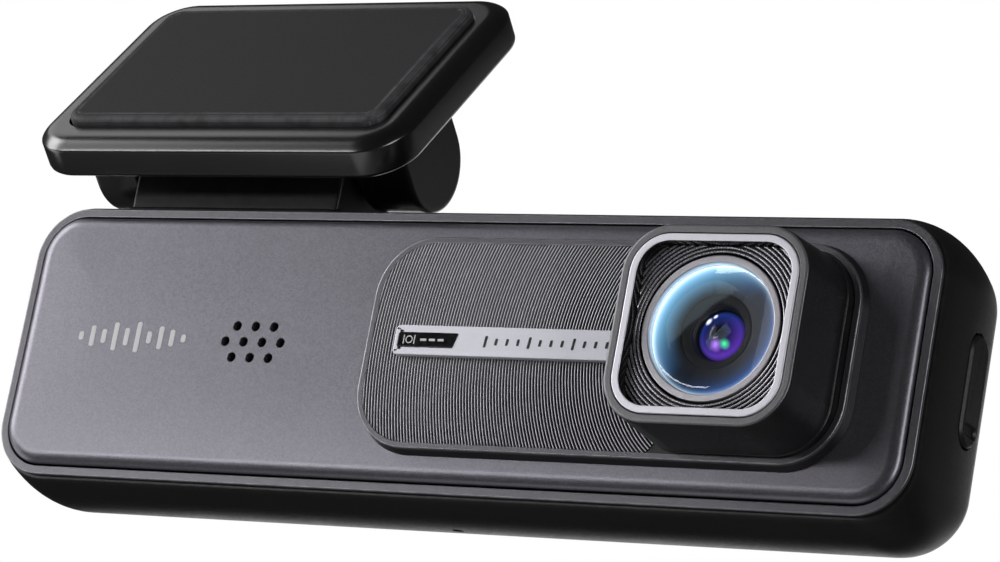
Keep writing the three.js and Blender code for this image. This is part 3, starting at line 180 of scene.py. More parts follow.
def level(outline, z):
    """An outline drawn in x and depth, at a height."""
    return np.stack([outline[:, 0], outline[:, 1], np.full(len(outline), z)], 1)


print("points in a rounded outline:", len(rounded(10, 5, 1)), "and in a circle:", len(circle(1)))

# %% [markdown]
# ## From profiles to skins
#
# A profile says how an edge is shaped: a list of steps inwards and steps in depth. Real moulded
# and machined edges are never sharp, so each corner of a profile is softened into a small curve.
# A Bevel modifier could do that afterwards, but here the curve is built in, with one extra row of
# points on each side that keeps the flat faces flat when the shading is smoothed.

# %% Soft profiles and skins


def soften(profile, radius, steps=4, closed=False, support=0.1):
    """A profile with its corners curved. A radius of 0 leaves that corner alone."""
    points = [np.array(p, float) for p in profile]
    radii = [radius] * len(points) if np.isscalar(radius) else list(radius)
    soft = []
    for i, corner in enumerate(points):
        ends = not closed and i in (0, len(points) - 1)
        if ends or radii[i] == 0:
            soft.append(tuple(corner))
            continue
        back = points[i - 1] - corner
        ahead = points[(i + 1) % len(points)] - corner
        room = 0.45 * min(np.linalg.norm(back), np.linalg.norm(ahead))
        reach = min(radii[i], room)
        back /= np.linalg.norm(back)
        ahead /= np.linalg.norm(ahead)
        extra = min(reach + support, (room + reach) / 2 + 1e-6)
        soft.append(tuple(corner + back * extra))
        start, end = corner + back * reach, corner + ahead * reach
        for k in range(steps + 1):
            t = k / steps
            soft.append(tuple((1 - t) ** 2 * start + 2 * t * (1 - t) * corner + t**2 * end))
        soft.append(tuple(corner + ahead * extra))
    return soft


def mesh_object(name, points, faces, to_scene=case_to_scene):
    """Points in millimetres and faces, as an object whose faces all look outwards."""
    mesh = bpy.data.meshes.new(name)
    mesh.from_pydata(to_scene(points).tolist(), [], faces)
    work = bmesh.new()
    work.from_mesh(mesh)
    bmesh.ops.recalc_face_normals(work, faces=work.faces)
    work.to_mesh(mesh)
    work.free()
    piece = bpy.data.objects.new(name, mesh)
    bpy.context.scene.collection.objects.link(piece)
    return piece


def skin(name, loops, to_scene=case_to_scene, closed=False):
    """A skin through rings of points: capped at both ends, or closed into a ring."""
    rows, count = len(loops), len(loops[0])
    faces = []
    for row in range(rows if closed else rows - 1):
        a, b = row * count, (row + 1) % rows * count
        for i in range(count):
            j = (i + 1) % count
            faces.append((a + i, a + j, b + j, b + i))
    if not closed:
        faces.append(tuple(range(count)))
        faces.append(tuple(range((rows - 1) * count, rows * count)))
    return mesh_object(name, np.concatenate(loops), faces, to_scene)


def turned(name, profile, centre, closed=True, steps=128):
    """A round piece about an axis that runs from front to back: (radius, depth) steps."""
    return skin(name, [across(circle(r, centre, steps), d) for r, d in profile], closed=closed)


def post(name, radius, front, back, centre, flare=0.0, steps=64):
    """A round rod from front to back, for cutting. It may widen at its front end."""
    profile = [(radius + flare + 0.3, front - 0.3), (radius, front + flare), (radius, back)]
    if not flare:
        profile = [(radius, front), (radius, back)]
    return turned(name, profile, centre, closed=False, steps=steps)


print("a softened corner has", len(soften([(0, 1), (0, 0), (1, 0)], 0.2)), "points")

# %% [markdown]
# ## Cutting and finishing
#
# Holes are cut with Boolean modifiers whose results are kept at once, so that no modifier is left
# behind. Where an edge meets the eye the cutter has a flared mouth, which leaves a chamfer.
# Afterwards each piece is shaded smooth with its true corners kept, and every point next to a
# tight edge is marked. Materials use that mark to lighten the edges a little, as handling does;
# on the pad's bevel the lighter edge is a painted highlight.

# %% Cutting and finishing


def carve(piece, cutters, how="DIFFERENCE"):
    """Cuts each cutter from a piece, or joins or keeps the overlap, and removes the cutters."""
    for cutter in cutters:
        modifier = piece.modifiers.new("carve", "BOOLEAN")
        modifier.solver = "MANIFOLD"
        modifier.operation = how
        modifier.object = cutter
        done = piece.evaluated_get(bpy.context.evaluated_depsgraph_get())
        mesh = bpy.data.meshes.new_from_object(done)
        piece.modifiers.clear()
        old, piece.data = piece.data, mesh
        bpy.data.meshes.remove(old)
        mesh.name = piece.name
        bpy.data.objects.remove(cutter)
    return piece


def merge(name, parts):
    """Several separate bodies as one piece."""
    work = bmesh.new()
    for part in parts:
        work.from_mesh(part.data)
        bpy.data.objects.remove(part)
    mesh = bpy.data.meshes.new(name)
    work.to_mesh(mesh)
    work.free()
    piece = bpy.data.objects.new(name, mesh)
    bpy.context.scene.collection.objects.link(piece)
    return piece


def mark_edges(mesh, tight=0.35):
    """Stores how sharply the surface turns at each point, from 0 to 1, under the name edge."""
    work = bmesh.new()
    work.from_mesh(mesh)
    turns = []
    for point in work.verts:
        angles = [e.calc_face_angle_signed(0) for e in point.link_edges if len(e.link_faces) == 2]
        turns.append(min(1.0, max([0.0, *angles]) / tight))
    work.free()
    attribute = mesh.attributes.get("edge") or mesh.attributes.new("edge", "FLOAT", "POINT")
    attribute.data.foreach_set("value", np.array(turns, np.float32))


def smooth(piece, angle=32):
    mesh = piece.data
    mesh.polygons.foreach_set("use_smooth", [True] * len(mesh.polygons))
    mesh.set_sharp_from_angle(angle=math.radians(angle))
    mark_edges(mesh)
    return piece


# %% [markdown]
# ## Building blocks for materials
#
# Every finish here is mixed from the same few parts: a fine grain for the moulding or the paint,
# slow patches that keep large areas from looking printed, a lighter edge and a bump. The lighter
# edge is wear, and on the pad's bevel a painted highlight. The texture coordinates are the
# object's own, in metres, so a grain of 0.3 mm is 0.3 mm on every part.
# Pictures of surfaces would be quicker, but they blur close up and carry someone's lighting.

# %% Building blocks for materials
materials = {}


def start_material(name):
    material = bpy.data.materials.new(name)
    material.use_nodes = True
    tree = material.node_tree
    shader = next(n for n in tree.nodes if n.type == "BSDF_PRINCIPLED")
    materials[name] = material
    return material, tree, shader


def add_node(tree, kind, values=None, **settings):
    """A node with its settings, and its inputs set or linked by name or number."""
    made = tree.nodes.new(kind)
    for key, value in settings.items():
        setattr(made, key, value)
    for key, value in (values or {}).items():
        if isinstance(value, bpy.types.NodeSocket):
            tree.links.new(value, made.inputs[key])
        else:
            made.inputs[key].default_value = value
    return made


def output_of(tree):
    return next(n for n in tree.nodes if n.type in ("OUTPUT_MATERIAL", "OUTPUT_WORLD"))


def own_place(tree):
    return add_node(tree, "ShaderNodeTexCoord").outputs["Object"]


def grain(tree, size, detail=2.0, stretch=None):
    """A noise whose spots are about size millimetres across, from 0 to 1."""
    place = own_place(tree)
    if stretch is not None:
        mapping = add_node(tree, "ShaderNodeMapping", {"Vector": place, "Scale": stretch})
        place = mapping.outputs[0]
    values = {"Vector": place, "Scale": 1000 / size, "Detail": detail}
    return add_node(tree, "ShaderNodeTexNoise", values).outputs[0]


def spread(tree, value, low, high, come_from=(0.3, 0.7)):
    """A value from one range, spread over another."""
    values = {"Value": value, 1: come_from[0], 2: come_from[1], 3: low, 4: high}
    return add_node(tree, "ShaderNodeMapRange", values, clamp=True).outputs[0]


def sums(tree, operation, *values):
    made = add_node(tree, "ShaderNodeMath", dict(enumerate(values)), operation=operation)
    return made.outputs[0]


def scaled(tree, value, factor):
    return sums(tree, "MULTIPLY", value, factor)


def blend_colours(tree, factor, first, second):
    made = add_node(tree, "ShaderNodeMix", data_type="RGBA")
    for socket, value in ((0, factor), (6, first), (7, second)):
        if isinstance(value, bpy.types.NodeSocket):
            tree.links.new(value, made.inputs[socket])
        elif socket == 0:
            made.inputs[socket].default_value = value
        else:
            made.inputs[socket].default_value = (*value, 1)
    return made.outputs[2]


def edge_wear_and_highlight(tree, amount=1.0):
    """How much an edge is lightened, as wear and on the pad's bevel as a painted highlight: the
    mark left by mark_edges, broken up by a noise.
    """
    mark = add_node(tree, "ShaderNodeAttribute", attribute_name="edge").outputs["Fac"]
    broken = spread(tree, grain(tree, 1.6, 3), 0.35 * amount, amount, (0.35, 0.6))
    return sums(tree, "MULTIPLY", mark, broken)


def bump(tree, shader, height, depth, strength=1.0):
    """Raises the surface by height times depth, in millimetres."""
    values = {"Height": height, "Distance": depth * MM, "Strength": strength}
    made = add_node(tree, "ShaderNodeBump", values)
    tree.links.new(made.outputs[0], shader.inputs["Normal"])
    return made


def finish(
    name,
    colours,
    roughness,
    metallic=0.0,
    grain_size=0.3,
    grain_depth=0.01,
    patch=14,
    edge=None,
    edge_amount=0.5,
    coat=0.0,
    coat_roughness=0.1,
    specular=0.5,
    stretch=None,
):
    """A finish with grain, slow patches, lighter edges (wear, and on the pad a painted highlight)
    and a bump.
    colours are the darker and the lighter tone, roughness its lowest and highest value."""
    material, tree, shader = start_material(name)
    fine = grain(tree, grain_size, 2, stretch)
    slow = grain(tree, patch, 3)
    tone = spread(tree, sums(tree, "ADD", scaled(tree, fine, 0.5), slow), 0, 1, (0.5, 1.0))
    colour = blend_colours(tree, tone, *colours)
    if edge is not None:
        colour = blend_colours(tree, edge_wear_and_highlight(tree, edge_amount), colour, edge)
    tree.links.new(colour, shader.inputs["Base Color"])
    uneven = sums(tree, "ADD", scaled(tree, slow, 0.6), fine)
    rough = spread(tree, uneven, *roughness, (0.5, 1.1))
    tree.links.new(rough, shader.inputs["Roughness"])
    shader.inputs["Metallic"].default_value = metallic
    shader.inputs["Specular IOR Level"].default_value = specular
    shader.inputs["Coat Weight"].default_value = coat
    shader.inputs["Coat Roughness"].default_value = coat_roughness
    if grain_depth:
        bump(tree, shader, fine, grain_depth)
    return material


def dress(piece, material, body="camera", stands_for=(), angle=32):
    """The last step for each piece: shading, material, body, and the part it stands for."""
    smooth(piece, angle)
    piece.data.materials.clear()
    piece.data.materials.append(materials[material])
    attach(piece, body)
    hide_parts(*stands_for)
    print(f"{piece.name}: {len(piece.data.polygons)} faces, {material}")
    return piece


# %% [markdown]
# ## Plastics
#
# The case and the bracket are moulded from black plastic whose mould was spark eroded: the
# surface is a fine pebble, about a third of a millimetre across and a few microns deep. The
# bracket is the same plastic from a smoother mould. Black plastic is never fully black, and its
# edges turn a little grey where they are touched.

# %% Plastics
finish(
    "moulded black",
    ((0.0042, 0.0042, 0.0048), (0.0085, 0.0085, 0.0094)),
    (0.30, 0.44),
    grain_size=0.34,
    grain_depth=0.006,
    edge=(0.035, 0.035, 0.038),
    edge_amount=0.35,
)
finish(
    "bracket black",
    ((0.0035, 0.0035, 0.004), (0.0075, 0.0075, 0.0083)),
    (0.21, 0.27),
    grain_size=0.42,
    grain_depth=0.0012,
    edge=(0.012, 0.012, 0.014),
    edge_amount=0.2,
    specular=1.0,
    coat=0.5,
    coat_roughness=0.24,
)
finish(
    "neck black",
    ((0.006, 0.006, 0.007), (0.012, 0.012, 0.0135)),
    (0.30, 0.4),
    grain_size=0.4,
    grain_depth=0.004,
    edge=(0.04, 0.04, 0.043),
    edge_amount=0.4,
)
finish(
    "satin black",
    ((0.007, 0.007, 0.008), (0.012, 0.012, 0.0135)),
    (0.26, 0.36),
    grain_size=0.25,
    grain_depth=0.003,
    edge=(0.05, 0.05, 0.055),
    edge_amount=0.45,
)
finish(
    "gloss black",
    ((0.003, 0.003, 0.0035), (0.006, 0.006, 0.007)),
    (0.1, 0.18),
    grain_size=0.6,
    grain_depth=0.001,
    edge=(0.04, 0.04, 0.045),
)
finish(
    "barrel black",
    ((0.004, 0.004, 0.005), (0.009, 0.009, 0.01)),
    (0.45, 0.6),
    grain_size=0.2,
    grain_depth=0.008,
)
finish(
    "door rubber",
    ((0.006, 0.006, 0.007), (0.011, 0.011, 0.012)),
    (0.38, 0.52),
    grain_size=0.22,
    grain_depth=0.006,
    edge=(0.05, 0.05, 0.055),
    edge_amount=0.5,
)
finish(
    "gasket rubber",
    ((0.008, 0.008, 0.009), (0.02, 0.02, 0.021)),
    (0.7, 0.85),
    grain_size=0.3,
    grain_depth=0.02,
)
print("plastics mixed:", len(materials))

# %% [markdown]
# ## Painted and plated metal
#
# The front panel is a thin metal skin, blasted with fine beads and sprayed with a gunmetal paint
# that holds metal flakes. It reads as metal, but its gloss is broad, with a very fine sparkle.
# The narrow rim has the same paint. The trim and the ripples are bare plated metal, brighter and
# with a tighter gloss. The badge and the face of the lens block are printed and painted.

# %% Painted and plated metal


def flake_paint(name, colours, roughness, metallic, flake=0.16, flake_depth=0.004, edge=None):
    """Paint with metal flakes: each small cell is a little lighter, darker or glossier."""
    tree, shader = start_material(name)[1:]
    values = {"Vector": own_place(tree), "Scale": 1000 / flake}
    cells = add_node(tree, "ShaderNodeTexVoronoi", values)
    random_tone = add_node(tree, "ShaderNodeSeparateColor", {0: cells.outputs["Color"]}).outputs[0]
    slow = grain(tree, 22, 3)
    tone = sums(tree, "ADD", scaled(tree, random_tone, 0.6), scaled(tree, slow, 0.4))
    colour = blend_colours(tree, tone, *colours)
    if edge is not None:
        colour = blend_colours(tree, edge_wear_and_highlight(tree, 0.6), colour, edge)
    tree.links.new(colour, shader.inputs["Base Color"])
    rough = spread(tree, sums(tree, "ADD", random_tone, slow), *roughness, (0.4, 1.6))
    tree.links.new(rough, shader.inputs["Roughness"])
    shader.inputs["Metallic"].default_value = metallic
    bump(tree, shader, sums(tree, "ADD", random_tone, grain(tree, 0.5, 2)), flake_depth)


flake_paint("gunmetal paint", ((0.165, 0.160, 0.185), (0.235, 0.228, 0.258)), (0.30, 0.37), 0.82)
flake_paint(
    "rim paint",
    ((0.13, 0.127, 0.14), (0.17, 0.166, 0.182)),
    (0.30, 0.37),
    0.8,
    flake=0.12,
    edge=(0.45, 0.44, 0.48),
)
flake_paint("face grey", ((0.19, 0.188, 0.20), (0.24, 0.238, 0.25)), (0.34, 0.42), 0.6, flake=0.12)
flake_paint(
    "lens ring paint",
    ((0.55, 0.53, 0.57), (0.64, 0.62, 0.66)),
    (0.34, 0.42),
    0.75,
    flake=0.1,
)
finish(
    "badge silver",
    ((0.80, 0.80, 0.88), (0.88, 0.88, 0.95)),
    (0.5, 0.58),
    metallic=0.5,
    grain_size=0.25,
    grain_depth=0.002,
    edge=(0.8, 0.8, 0.85),
)
finish(
    "trim metal",
    ((0.84, 0.82, 0.9), (0.92, 0.9, 0.97)),
    (0.42, 0.5),
    metallic=0.75,
    grain_size=0.3,
    grain_depth=0.001,
    stretch=(1, 1, 0.12),
    edge=(0.85, 0.84, 0.9),
)
finish(
    "plated steel",
    ((0.42, 0.42, 0.43), (0.56, 0.56, 0.57)),
    (0.22, 0.36),
    metallic=1.0,
    grain_size=0.3,
    grain_depth=0.004,
    patch=3,
    edge=(0.75, 0.75, 0.75),
)
finish(
    "dark steel",
    ((0.05, 0.05, 0.055), (0.09, 0.09, 0.095)),
    (0.28, 0.42),
    metallic=0.9,
    grain_size=0.3,
    grain_depth=0.004,
    patch=3,
    edge=(0.3, 0.3, 0.31),
)
finish(
    "turned brass",
    ((0.42, 0.30, 0.10), (0.60, 0.45, 0.19)),
    (0.25, 0.38),
    metallic=1.0,
    grain_size=0.25,
    grain_depth=0.006,
    stretch=(6, 1, 1),
    patch=3,
)
finish(
    "rolled aluminium",
    ((0.50, 0.51, 0.52), (0.64, 0.65, 0.66)),
    (0.3, 0.42),
    metallic=1.0,
    grain_size=0.2,
    grain_depth=0.004,
    stretch=(0.08, 1, 1),
)
print("metals mixed:", len(materials))

# %% [markdown]
# ## Ripples
#
# The island and the plate round the lens are covered with fine turned ripples, all about the
# lens. Their crests are bright metal and their valleys are coloured near black as painted shade.
# The ripples themselves are cut into the pieces further down. The painted shade is laid in here by
# the distance from the lens's axis, so that crests and colour always fall together.

# %% Painted shade in the ripples
LENS_CENTRE = (35.85, 0.35)
RIPPLE_PITCH = 0.35
GROOVE_PITCH = 0.42


def distance_of(tree, x, z):
    squares = sums(tree, "ADD", sums(tree, "MULTIPLY", x, x), sums(tree, "MULTIPLY", z, z))
    return sums(tree, "SQRT", squares)


def about_lens(tree):
    """The distance from the lens's axis in millimetres, and x and z from it."""
    place = add_node(tree, "ShaderNodeSeparateXYZ", {0: own_place(tree)})
    axis = (CASE_ORIGIN[[0, 2]] + np.array(LENS_CENTRE)) * MM
    x = scaled(tree, sums(tree, "SUBTRACT", place.outputs["X"], axis[0]), 1000)
    z = scaled(tree, sums(tree, "SUBTRACT", place.outputs["Z"], axis[1]), 1000)
    return distance_of(tree, x, z), x, z


def rippled_metal(name, pitch, crest, valley_shade, roughness, metallic, share):
    """Metal whose valleys are coloured near black as painted shade. share is how much of each
    ripple keeps its metal colour.
    """
    material, tree, shader = start_material(name)
    distance = about_lens(tree)[0]
    wave = sums(tree, "COSINE", scaled(tree, distance, 2 * math.pi / pitch))
    edge_of_shade = math.cos(math.pi * share)
    # bare is where the metal colour stays; the rest of each ripple gets painted shade.
    bare = spread(tree, wave, 0, 1, (edge_of_shade - 0.25, edge_of_shade + 0.25))
    slow = grain(tree, 9, 3)
    metal = blend_colours(tree, spread(tree, slow, 0, 1), crest, tuple(0.85 * c for c in crest))
    tree.links.new(blend_colours(tree, bare, valley_shade, metal), shader.inputs["Base Color"])
    tree.links.new(scaled(tree, bare, metallic), shader.inputs["Metallic"])
    fine = grain(tree, 0.2, 2)
    tree.links.new(spread(tree, fine, *roughness), shader.inputs["Roughness"])
    bump(tree, shader, fine, 0.001)
    return material


rippled_metal(
    "ripple metal",
    RIPPLE_PITCH,
    crest=(0.33, 0.325, 0.355),
    valley_shade=(0.006, 0.006, 0.008),
    roughness=(0.3, 0.42),
    metallic=0.8,
    share=0.5,
)
rippled_metal(
    "groove metal",
    GROOVE_PITCH,
    crest=(0.52, 0.50, 0.55),
    valley_shade=(0.004, 0.004, 0.005),
    roughness=(0.22, 0.32),
    metallic=0.85,
    share=0.55,
)
print("ripple pitches in mm:", RIPPLE_PITCH, GROOVE_PITCH)

# %% [markdown]
# ## Glass, with painted glow and glints in the lens
#
# The cover glass is clear, with a gloss that grows at grazing angles. A pane with real refraction
# would hide the soft lights from what lies behind it and fill the picture with noise, so the pane
# is a clear pass-through mixed with a sharp gloss. The share of gloss is about 4% straight on and
# grows with the fifth power of the slant. A Fresnel node would also work on the front, but on the
# back of a pane that doesn't bend light it would shut out every low ray. The blue glow at its
# edge is a painted reflection: a sloping ring under the glass emits light, strongest at the upper
# left, deep blue at the lower right. The front element's glints are painted in the same way.

# %% Glass


def clear_glass(name, tint, gloss=(1, 1, 1), ior=1.52):
    material, tree, shader = start_material(name)
    tree.nodes.remove(shader)
    through = add_node(tree, "ShaderNodeBsdfTransparent", {"Color": (*tint, 1)})
    sheen = add_node(tree, "ShaderNodeBsdfGlossy", {"Color": (*gloss, 1), "Roughness": 0.02})
    facing = add_node(tree, "ShaderNodeLayerWeight", {"Blend": 0.5}).outputs["Facing"]
    straight = ((ior - 1) / (ior + 1)) ** 2
    slant = sums(tree, "POWER", facing, 5)
    share = sums(tree, "ADD", scaled(tree, slant, 1 - straight), straight)
    mixed = add_node(tree, "ShaderNodeMixShader", {0: share})
    tree.links.new(through.outputs[0], mixed.inputs[1])
    tree.links.new(sheen.outputs[0], mixed.inputs[2])
    tree.links.new(mixed.outputs[0], output_of(tree).inputs["Surface"])
    return material


clear_glass("cover glass", (0.97, 0.98, 1.0))


def spot(tree, x, z, centre, size):
    """1 at a point, fading to 0 at size millimetres from it."""
    away = distance_of(
        tree, sums(tree, "SUBTRACT", x, centre[0]), sums(tree, "SUBTRACT", z, centre[1])
    )
    return spread(tree, away, 1, 0, (0.15 * size, size))


def painted_glow_slope(name, inner, outer):
    """The sloping ring under the glass: a painted reflection that glows towards the outer edge."""
    material, tree, shader = start_material(name)
    distance, x, z = about_lens(tree)
    angle = sums(tree, "ARCTAN2", z, x)
    upper_left = sums(tree, "COSINE", sums(tree, "SUBTRACT", angle, math.radians(138)))
    lower_right = sums(tree, "COSINE", sums(tree, "SUBTRACT", angle, math.radians(-42)))
    left_part = spread(tree, upper_left, 0, 1, (-0.1, 0.95))
    right_part = spread(tree, lower_right, 0, 1, (0.35, 1.0))
    depth_in = spread(tree, distance, 0, 1, (inner, outer))
    wide = sums(tree, "POWER", depth_in, 1.6)
    narrow = sums(tree, "POWER", depth_in, 3.0)
    thin = sums(tree, "POWER", depth_in, 9.0)
    left_glow = sums(tree, "MULTIPLY", left_part, wide)
    right_glow = scaled(tree, sums(tree, "MULTIPLY", right_part, narrow), 0.55)
    hue = spread(tree, upper_left, 0, 1, (-0.6, 0.7))
    colour = blend_colours(tree, hue, (0.0, 0.14, 0.62), (0.22, 0.56, 0.85))
    pale = blend_colours(tree, thin, colour, (0.72, 0.93, 1.0))
    tree.links.new(pale, shader.inputs["Emission Color"])
    glow = sums(tree, "ADD", left_glow, right_glow)
    power = sums(tree, "ADD", glow, scaled(tree, thin, 0.5))
    tree.links.new(scaled(tree, power, 1.45), shader.inputs["Emission Strength"])
    base = blend_colours(tree, depth_in, (0.015, 0.015, 0.017), (0.01, 0.03, 0.07))
    tree.links.new(base, shader.inputs["Base Color"])
    tree.links.new(spread(tree, grain(tree, 0.2), 0.35, 0.5), shader.inputs["Roughness"])
    return material


SLOPE_INNER, SLOPE_OUTER = 3.9, 6.74
# The slope's blue glow is a painted reflection, emitted by its material.
painted_glow_slope("painted glow slope", SLOPE_INNER, SLOPE_OUTER)


def painted_glint_dome(name):
    """The front element: deep violet blue, darker in the middle, with a painted glow towards the
    rim, painted green and violet reflections and two painted white highlights.
    """
    material, tree, shader = start_material(name)
    distance, x, z = about_lens(tree)
    # Painted light: the blue is lighter towards the upper left.
    lit = spread(tree, sums(tree, "SUBTRACT", scaled(tree, x, 0.6), z), 0, 1, (-1.6, 2.2))
    out = spread(tree, distance, 0, 1, (0.5, 2.5))
    tint = blend_colours(tree, lit, (0.012, 0.03, 0.20), (0.11, 0.035, 0.42))
    body = blend_colours(tree, out, (0.004, 0.004, 0.02), tint)
    rim = blend_colours(tree, spread(tree, distance, 0, 1, (2.15, 2.6)), body, (0.0, 0.004, 0.01))
    # Painted green and violet reflections of the inner elements.
    green = spot(tree, x, z, (0.75, -0.95), 0.62)
    violet = spot(tree, x, z, (-0.15, -1.05), 0.8)
    glow = blend_colours(tree, violet, rim, (0.45, 0.2, 0.9))
    glow = blend_colours(tree, green, glow, (0.05, 0.75, 0.28))
    # Two painted white highlights, where the lights would mirror in the dome.
    large_shine = spot(tree, x, z, (-1.6, 1.4), 0.5)
    small_shine = spot(tree, x, z, (-0.95, 1.95), 0.32)
    shine = sums(tree, "MAXIMUM", large_shine, small_shine)
    glow = blend_colours(tree, shine, glow, (0.9, 0.97, 1.0))
    tree.links.new(rim, shader.inputs["Base Color"])
    tree.links.new(glow, shader.inputs["Emission Color"])
    coloured = sums(tree, "MAXIMUM", green, scaled(tree, violet, 0.8))
    spots = sums(tree, "MAXIMUM", coloured, shine)
    # The dome emits a painted glow towards its rim, with the painted spots on top.
    strength = sums(tree, "ADD", scaled(tree, out, 1.3), spots)
    tree.links.new(strength, shader.inputs["Emission Strength"])
    shader.inputs["Roughness"].default_value = 0.06
    shader.inputs["Specular IOR Level"].default_value = 0.25
    shader.inputs["Coat Weight"].default_value = 0.15
    shader.inputs["Coat Roughness"].default_value = 0.03
    return material


painted_glint_dome("painted glint dome")
finish(
    "baffle grey",
    ((0.012, 0.0115, 0.013), (0.017, 0.0165, 0.018)),
    (0.6, 0.75),
    grain_size=0.3,
    grain_depth=0.003,
)
clear_glass("inner glass", (0.55, 0.5, 0.8), (0.6, 0.5, 1.0), 1.6)
clear_glass("filter glass", (0.55, 0.75, 0.8), (1.0, 0.6, 0.6), 1.5)
print("glass and painted lens glow mixed")

# %% [markdown]
# ## What hides inside
#
# The parts inside are rarely seen, but a reusable model may be opened, so each has its own
# finish too: a green board with copper lines under its lacquer, chips with a faint texture,
# a blue sleeve that shrank onto each capacitor, a foam pad, an amber flat cable.

# %% Finishes for the inside


def lined_board(name):
    """Green lacquer over copper lines: a fine grid of tracks, broken by a noise, and dots."""
    tree, shader = start_material(name)[1:]
    place = own_place(tree)
    wave = {"Vector": place, "Scale": 260, "Distortion": 1.5, "Detail": 1}
    tracks = add_node(tree, "ShaderNodeTexWave", wave, bands_direction="Z").outputs["Fac"]
    cells = add_node(tree, "ShaderNodeTexVoronoi", {"Vector": place, "Scale": 420})
    dots = cells.outputs["Distance"]
    lines = spread(tree, tracks, 0, 1, (0.7, 0.85))
    copper = sums(tree, "MULTIPLY", lines, spread(tree, grain(tree, 6), 0, 1))
    colour = blend_colours(tree, copper, (0.006, 0.045, 0.026), (0.02, 0.11, 0.05))
    colour = blend_colours(tree, spread(tree, dots, 1, 0, (0.1, 0.16)), colour, (0.45, 0.33, 0.14))
    tree.links.new(colour, shader.inputs["Base Color"])
    tree.links.new(spread(tree, grain(tree, 0.5), 0.25, 0.4), shader.inputs["Roughness"])
    bump(tree, shader, copper, 0.02)


def woven(name, colours, pitch):
    """Two crossed sets of threads."""
    tree, shader = start_material(name)[1:]
    place = own_place(tree)
    sets = []
    for direction in ("X", "Z"):
        values = {"Vector": place, "Scale": 1000 / pitch / 20}
        threads = add_node(tree, "ShaderNodeTexWave", values, bands_direction=direction)
        sets.append(threads.outputs["Fac"])
    weave = sums(tree, "MAXIMUM", *sets)
    tree.links.new(blend_colours(tree, weave, *colours), shader.inputs["Base Color"])
    tree.links.new(spread(tree, weave, 0.8, 0.5), shader.inputs["Roughness"])
    bump(tree, shader, weave, 0.05)


lined_board("lacquered board")
woven("mesh cloth", ((0.002, 0.002, 0.002), (0.03, 0.03, 0.032)), 0.35)
for name, colours, roughness, settings in (
    ("chip black", ((0.01, 0.01, 0.011), (0.02, 0.02, 0.022)), (0.45, 0.6), (0.15, 0.01)),
    ("thermal foam", ((0.22, 0.26, 0.31), (0.32, 0.36, 0.41)), (0.75, 0.9), (0.4, 0.04)),
    ("blue sleeve", ((0.012, 0.03, 0.09), (0.02, 0.05, 0.14)), (0.18, 0.3), (0.8, 0.004)),
    ("lamp white", ((0.62, 0.66, 0.7), (0.78, 0.82, 0.85)), (0.2, 0.35), (0.5, 0.002)),
    ("mark white", ((0.86, 0.86, 0.88), (0.93, 0.93, 0.95)), (0.4, 0.55), (0.2, 0.001)),
    ("mark black", ((0.01, 0.01, 0.012), (0.02, 0.02, 0.022)), (0.3, 0.45), (0.2, 0.001)),
):
    grain_size, grain_depth = settings
    finish(name, colours, roughness, grain_size=grain_size, grain_depth=grain_depth)
finish(
    "amber flex",
    ((0.32, 0.12, 0.02), (0.48, 0.2, 0.04)),
    (0.25, 0.4),
    stretch=(1, 1, 0.05),
    patch=4,
)
# The pad's much lighter edge colour is a painted highlight on its front bevel.
finish(
    "pad foam",
    ((0.019, 0.019, 0.021), (0.026, 0.026, 0.029)),
    (0.62, 0.78),
    grain_size=0.28,
    grain_depth=0.012,
    edge=(0.2, 0.2, 0.21),
    edge_amount=0.9,
)
print("all finishes:", len(materials))

# %% [markdown]
# ## The rear housing
#
# The shell swells a little behind the bezel, like a pebble held in the hand, and rolls over into
# a flat back. It is one skin: from the inside of the back, forwards along the inner wall, round
# the thin front lip and back along the outside. The swell is a parabola, so the outline at any
# depth can be worked out, and forty rows of points give a curve without facets.

# %% Shell sizes
CASE_LENGTH, CASE_HEIGHT, CASE_CORNER, CASE_DEPTH = 110.0, 30.7, 5.9, 17.9
WALL = 1.5
END_SWELL, SIDE_SWELL, SWELL_PEAK = 0.72, 1.55, 7.5
BACK_FILLET = 4.5
HOUSING_FRONT = 0.8


def swell(depth):
    return 1 - ((depth - SWELL_PEAK) / SWELL_PEAK) ** 2


def shell_outline(depth, inset=0.0):
    s = swell(depth)
    corner = CASE_CORNER + SIDE_SWELL * s * 0.55
    width, height = CASE_LENGTH + 2 * END_SWELL * s, CASE_HEIGHT + 2 * SIDE_SWELL * s
    return rounded(width, height, max(corner, inset + 1), inset=inset)


def shell_rows(wall, front, rows=24, fillet_rows=16):
    """(depth, inset) from the front to the back for a skin that lies wall inside the outside."""
    fillet = BACK_FILLET - wall
    back = CASE_DEPTH - wall
    steps = [(d, wall) for d in np.linspace(front, back - fillet, rows)]
    for i in range(1, fillet_rows + 1):
        angle = math.pi / 2 * i / fillet_rows
        depth = back - fillet * (1 - math.sin(angle))
        steps.append((depth, wall + fillet * (1 - math.cos(angle))))
    return steps


inner = shell_rows(WALL, HOUSING_FRONT + 0.15)
outer = shell_rows(0.0, HOUSING_FRONT + 0.15)
lip = [(HOUSING_FRONT + 0.04, WALL - 0.04), (HOUSING_FRONT, WALL - 0.15)]
lip += [(HOUSING_FRONT, 0.15), (HOUSING_FRONT + 0.04, 0.04)]
ends = [(CASE_DEPTH - WALL, inner[-1][1] + 0.4)], [(CASE_DEPTH, outer[-1][1] + 0.4)]
chain = ends[0] + inner[::-1] + lip + outer + ends[1]
shell = skin("rear_shell", [across(shell_outline(d, inset), d) for d, inset in chain])
print("shell in mm:", [round(1000 * v, 2) for v in shell.dimensions])

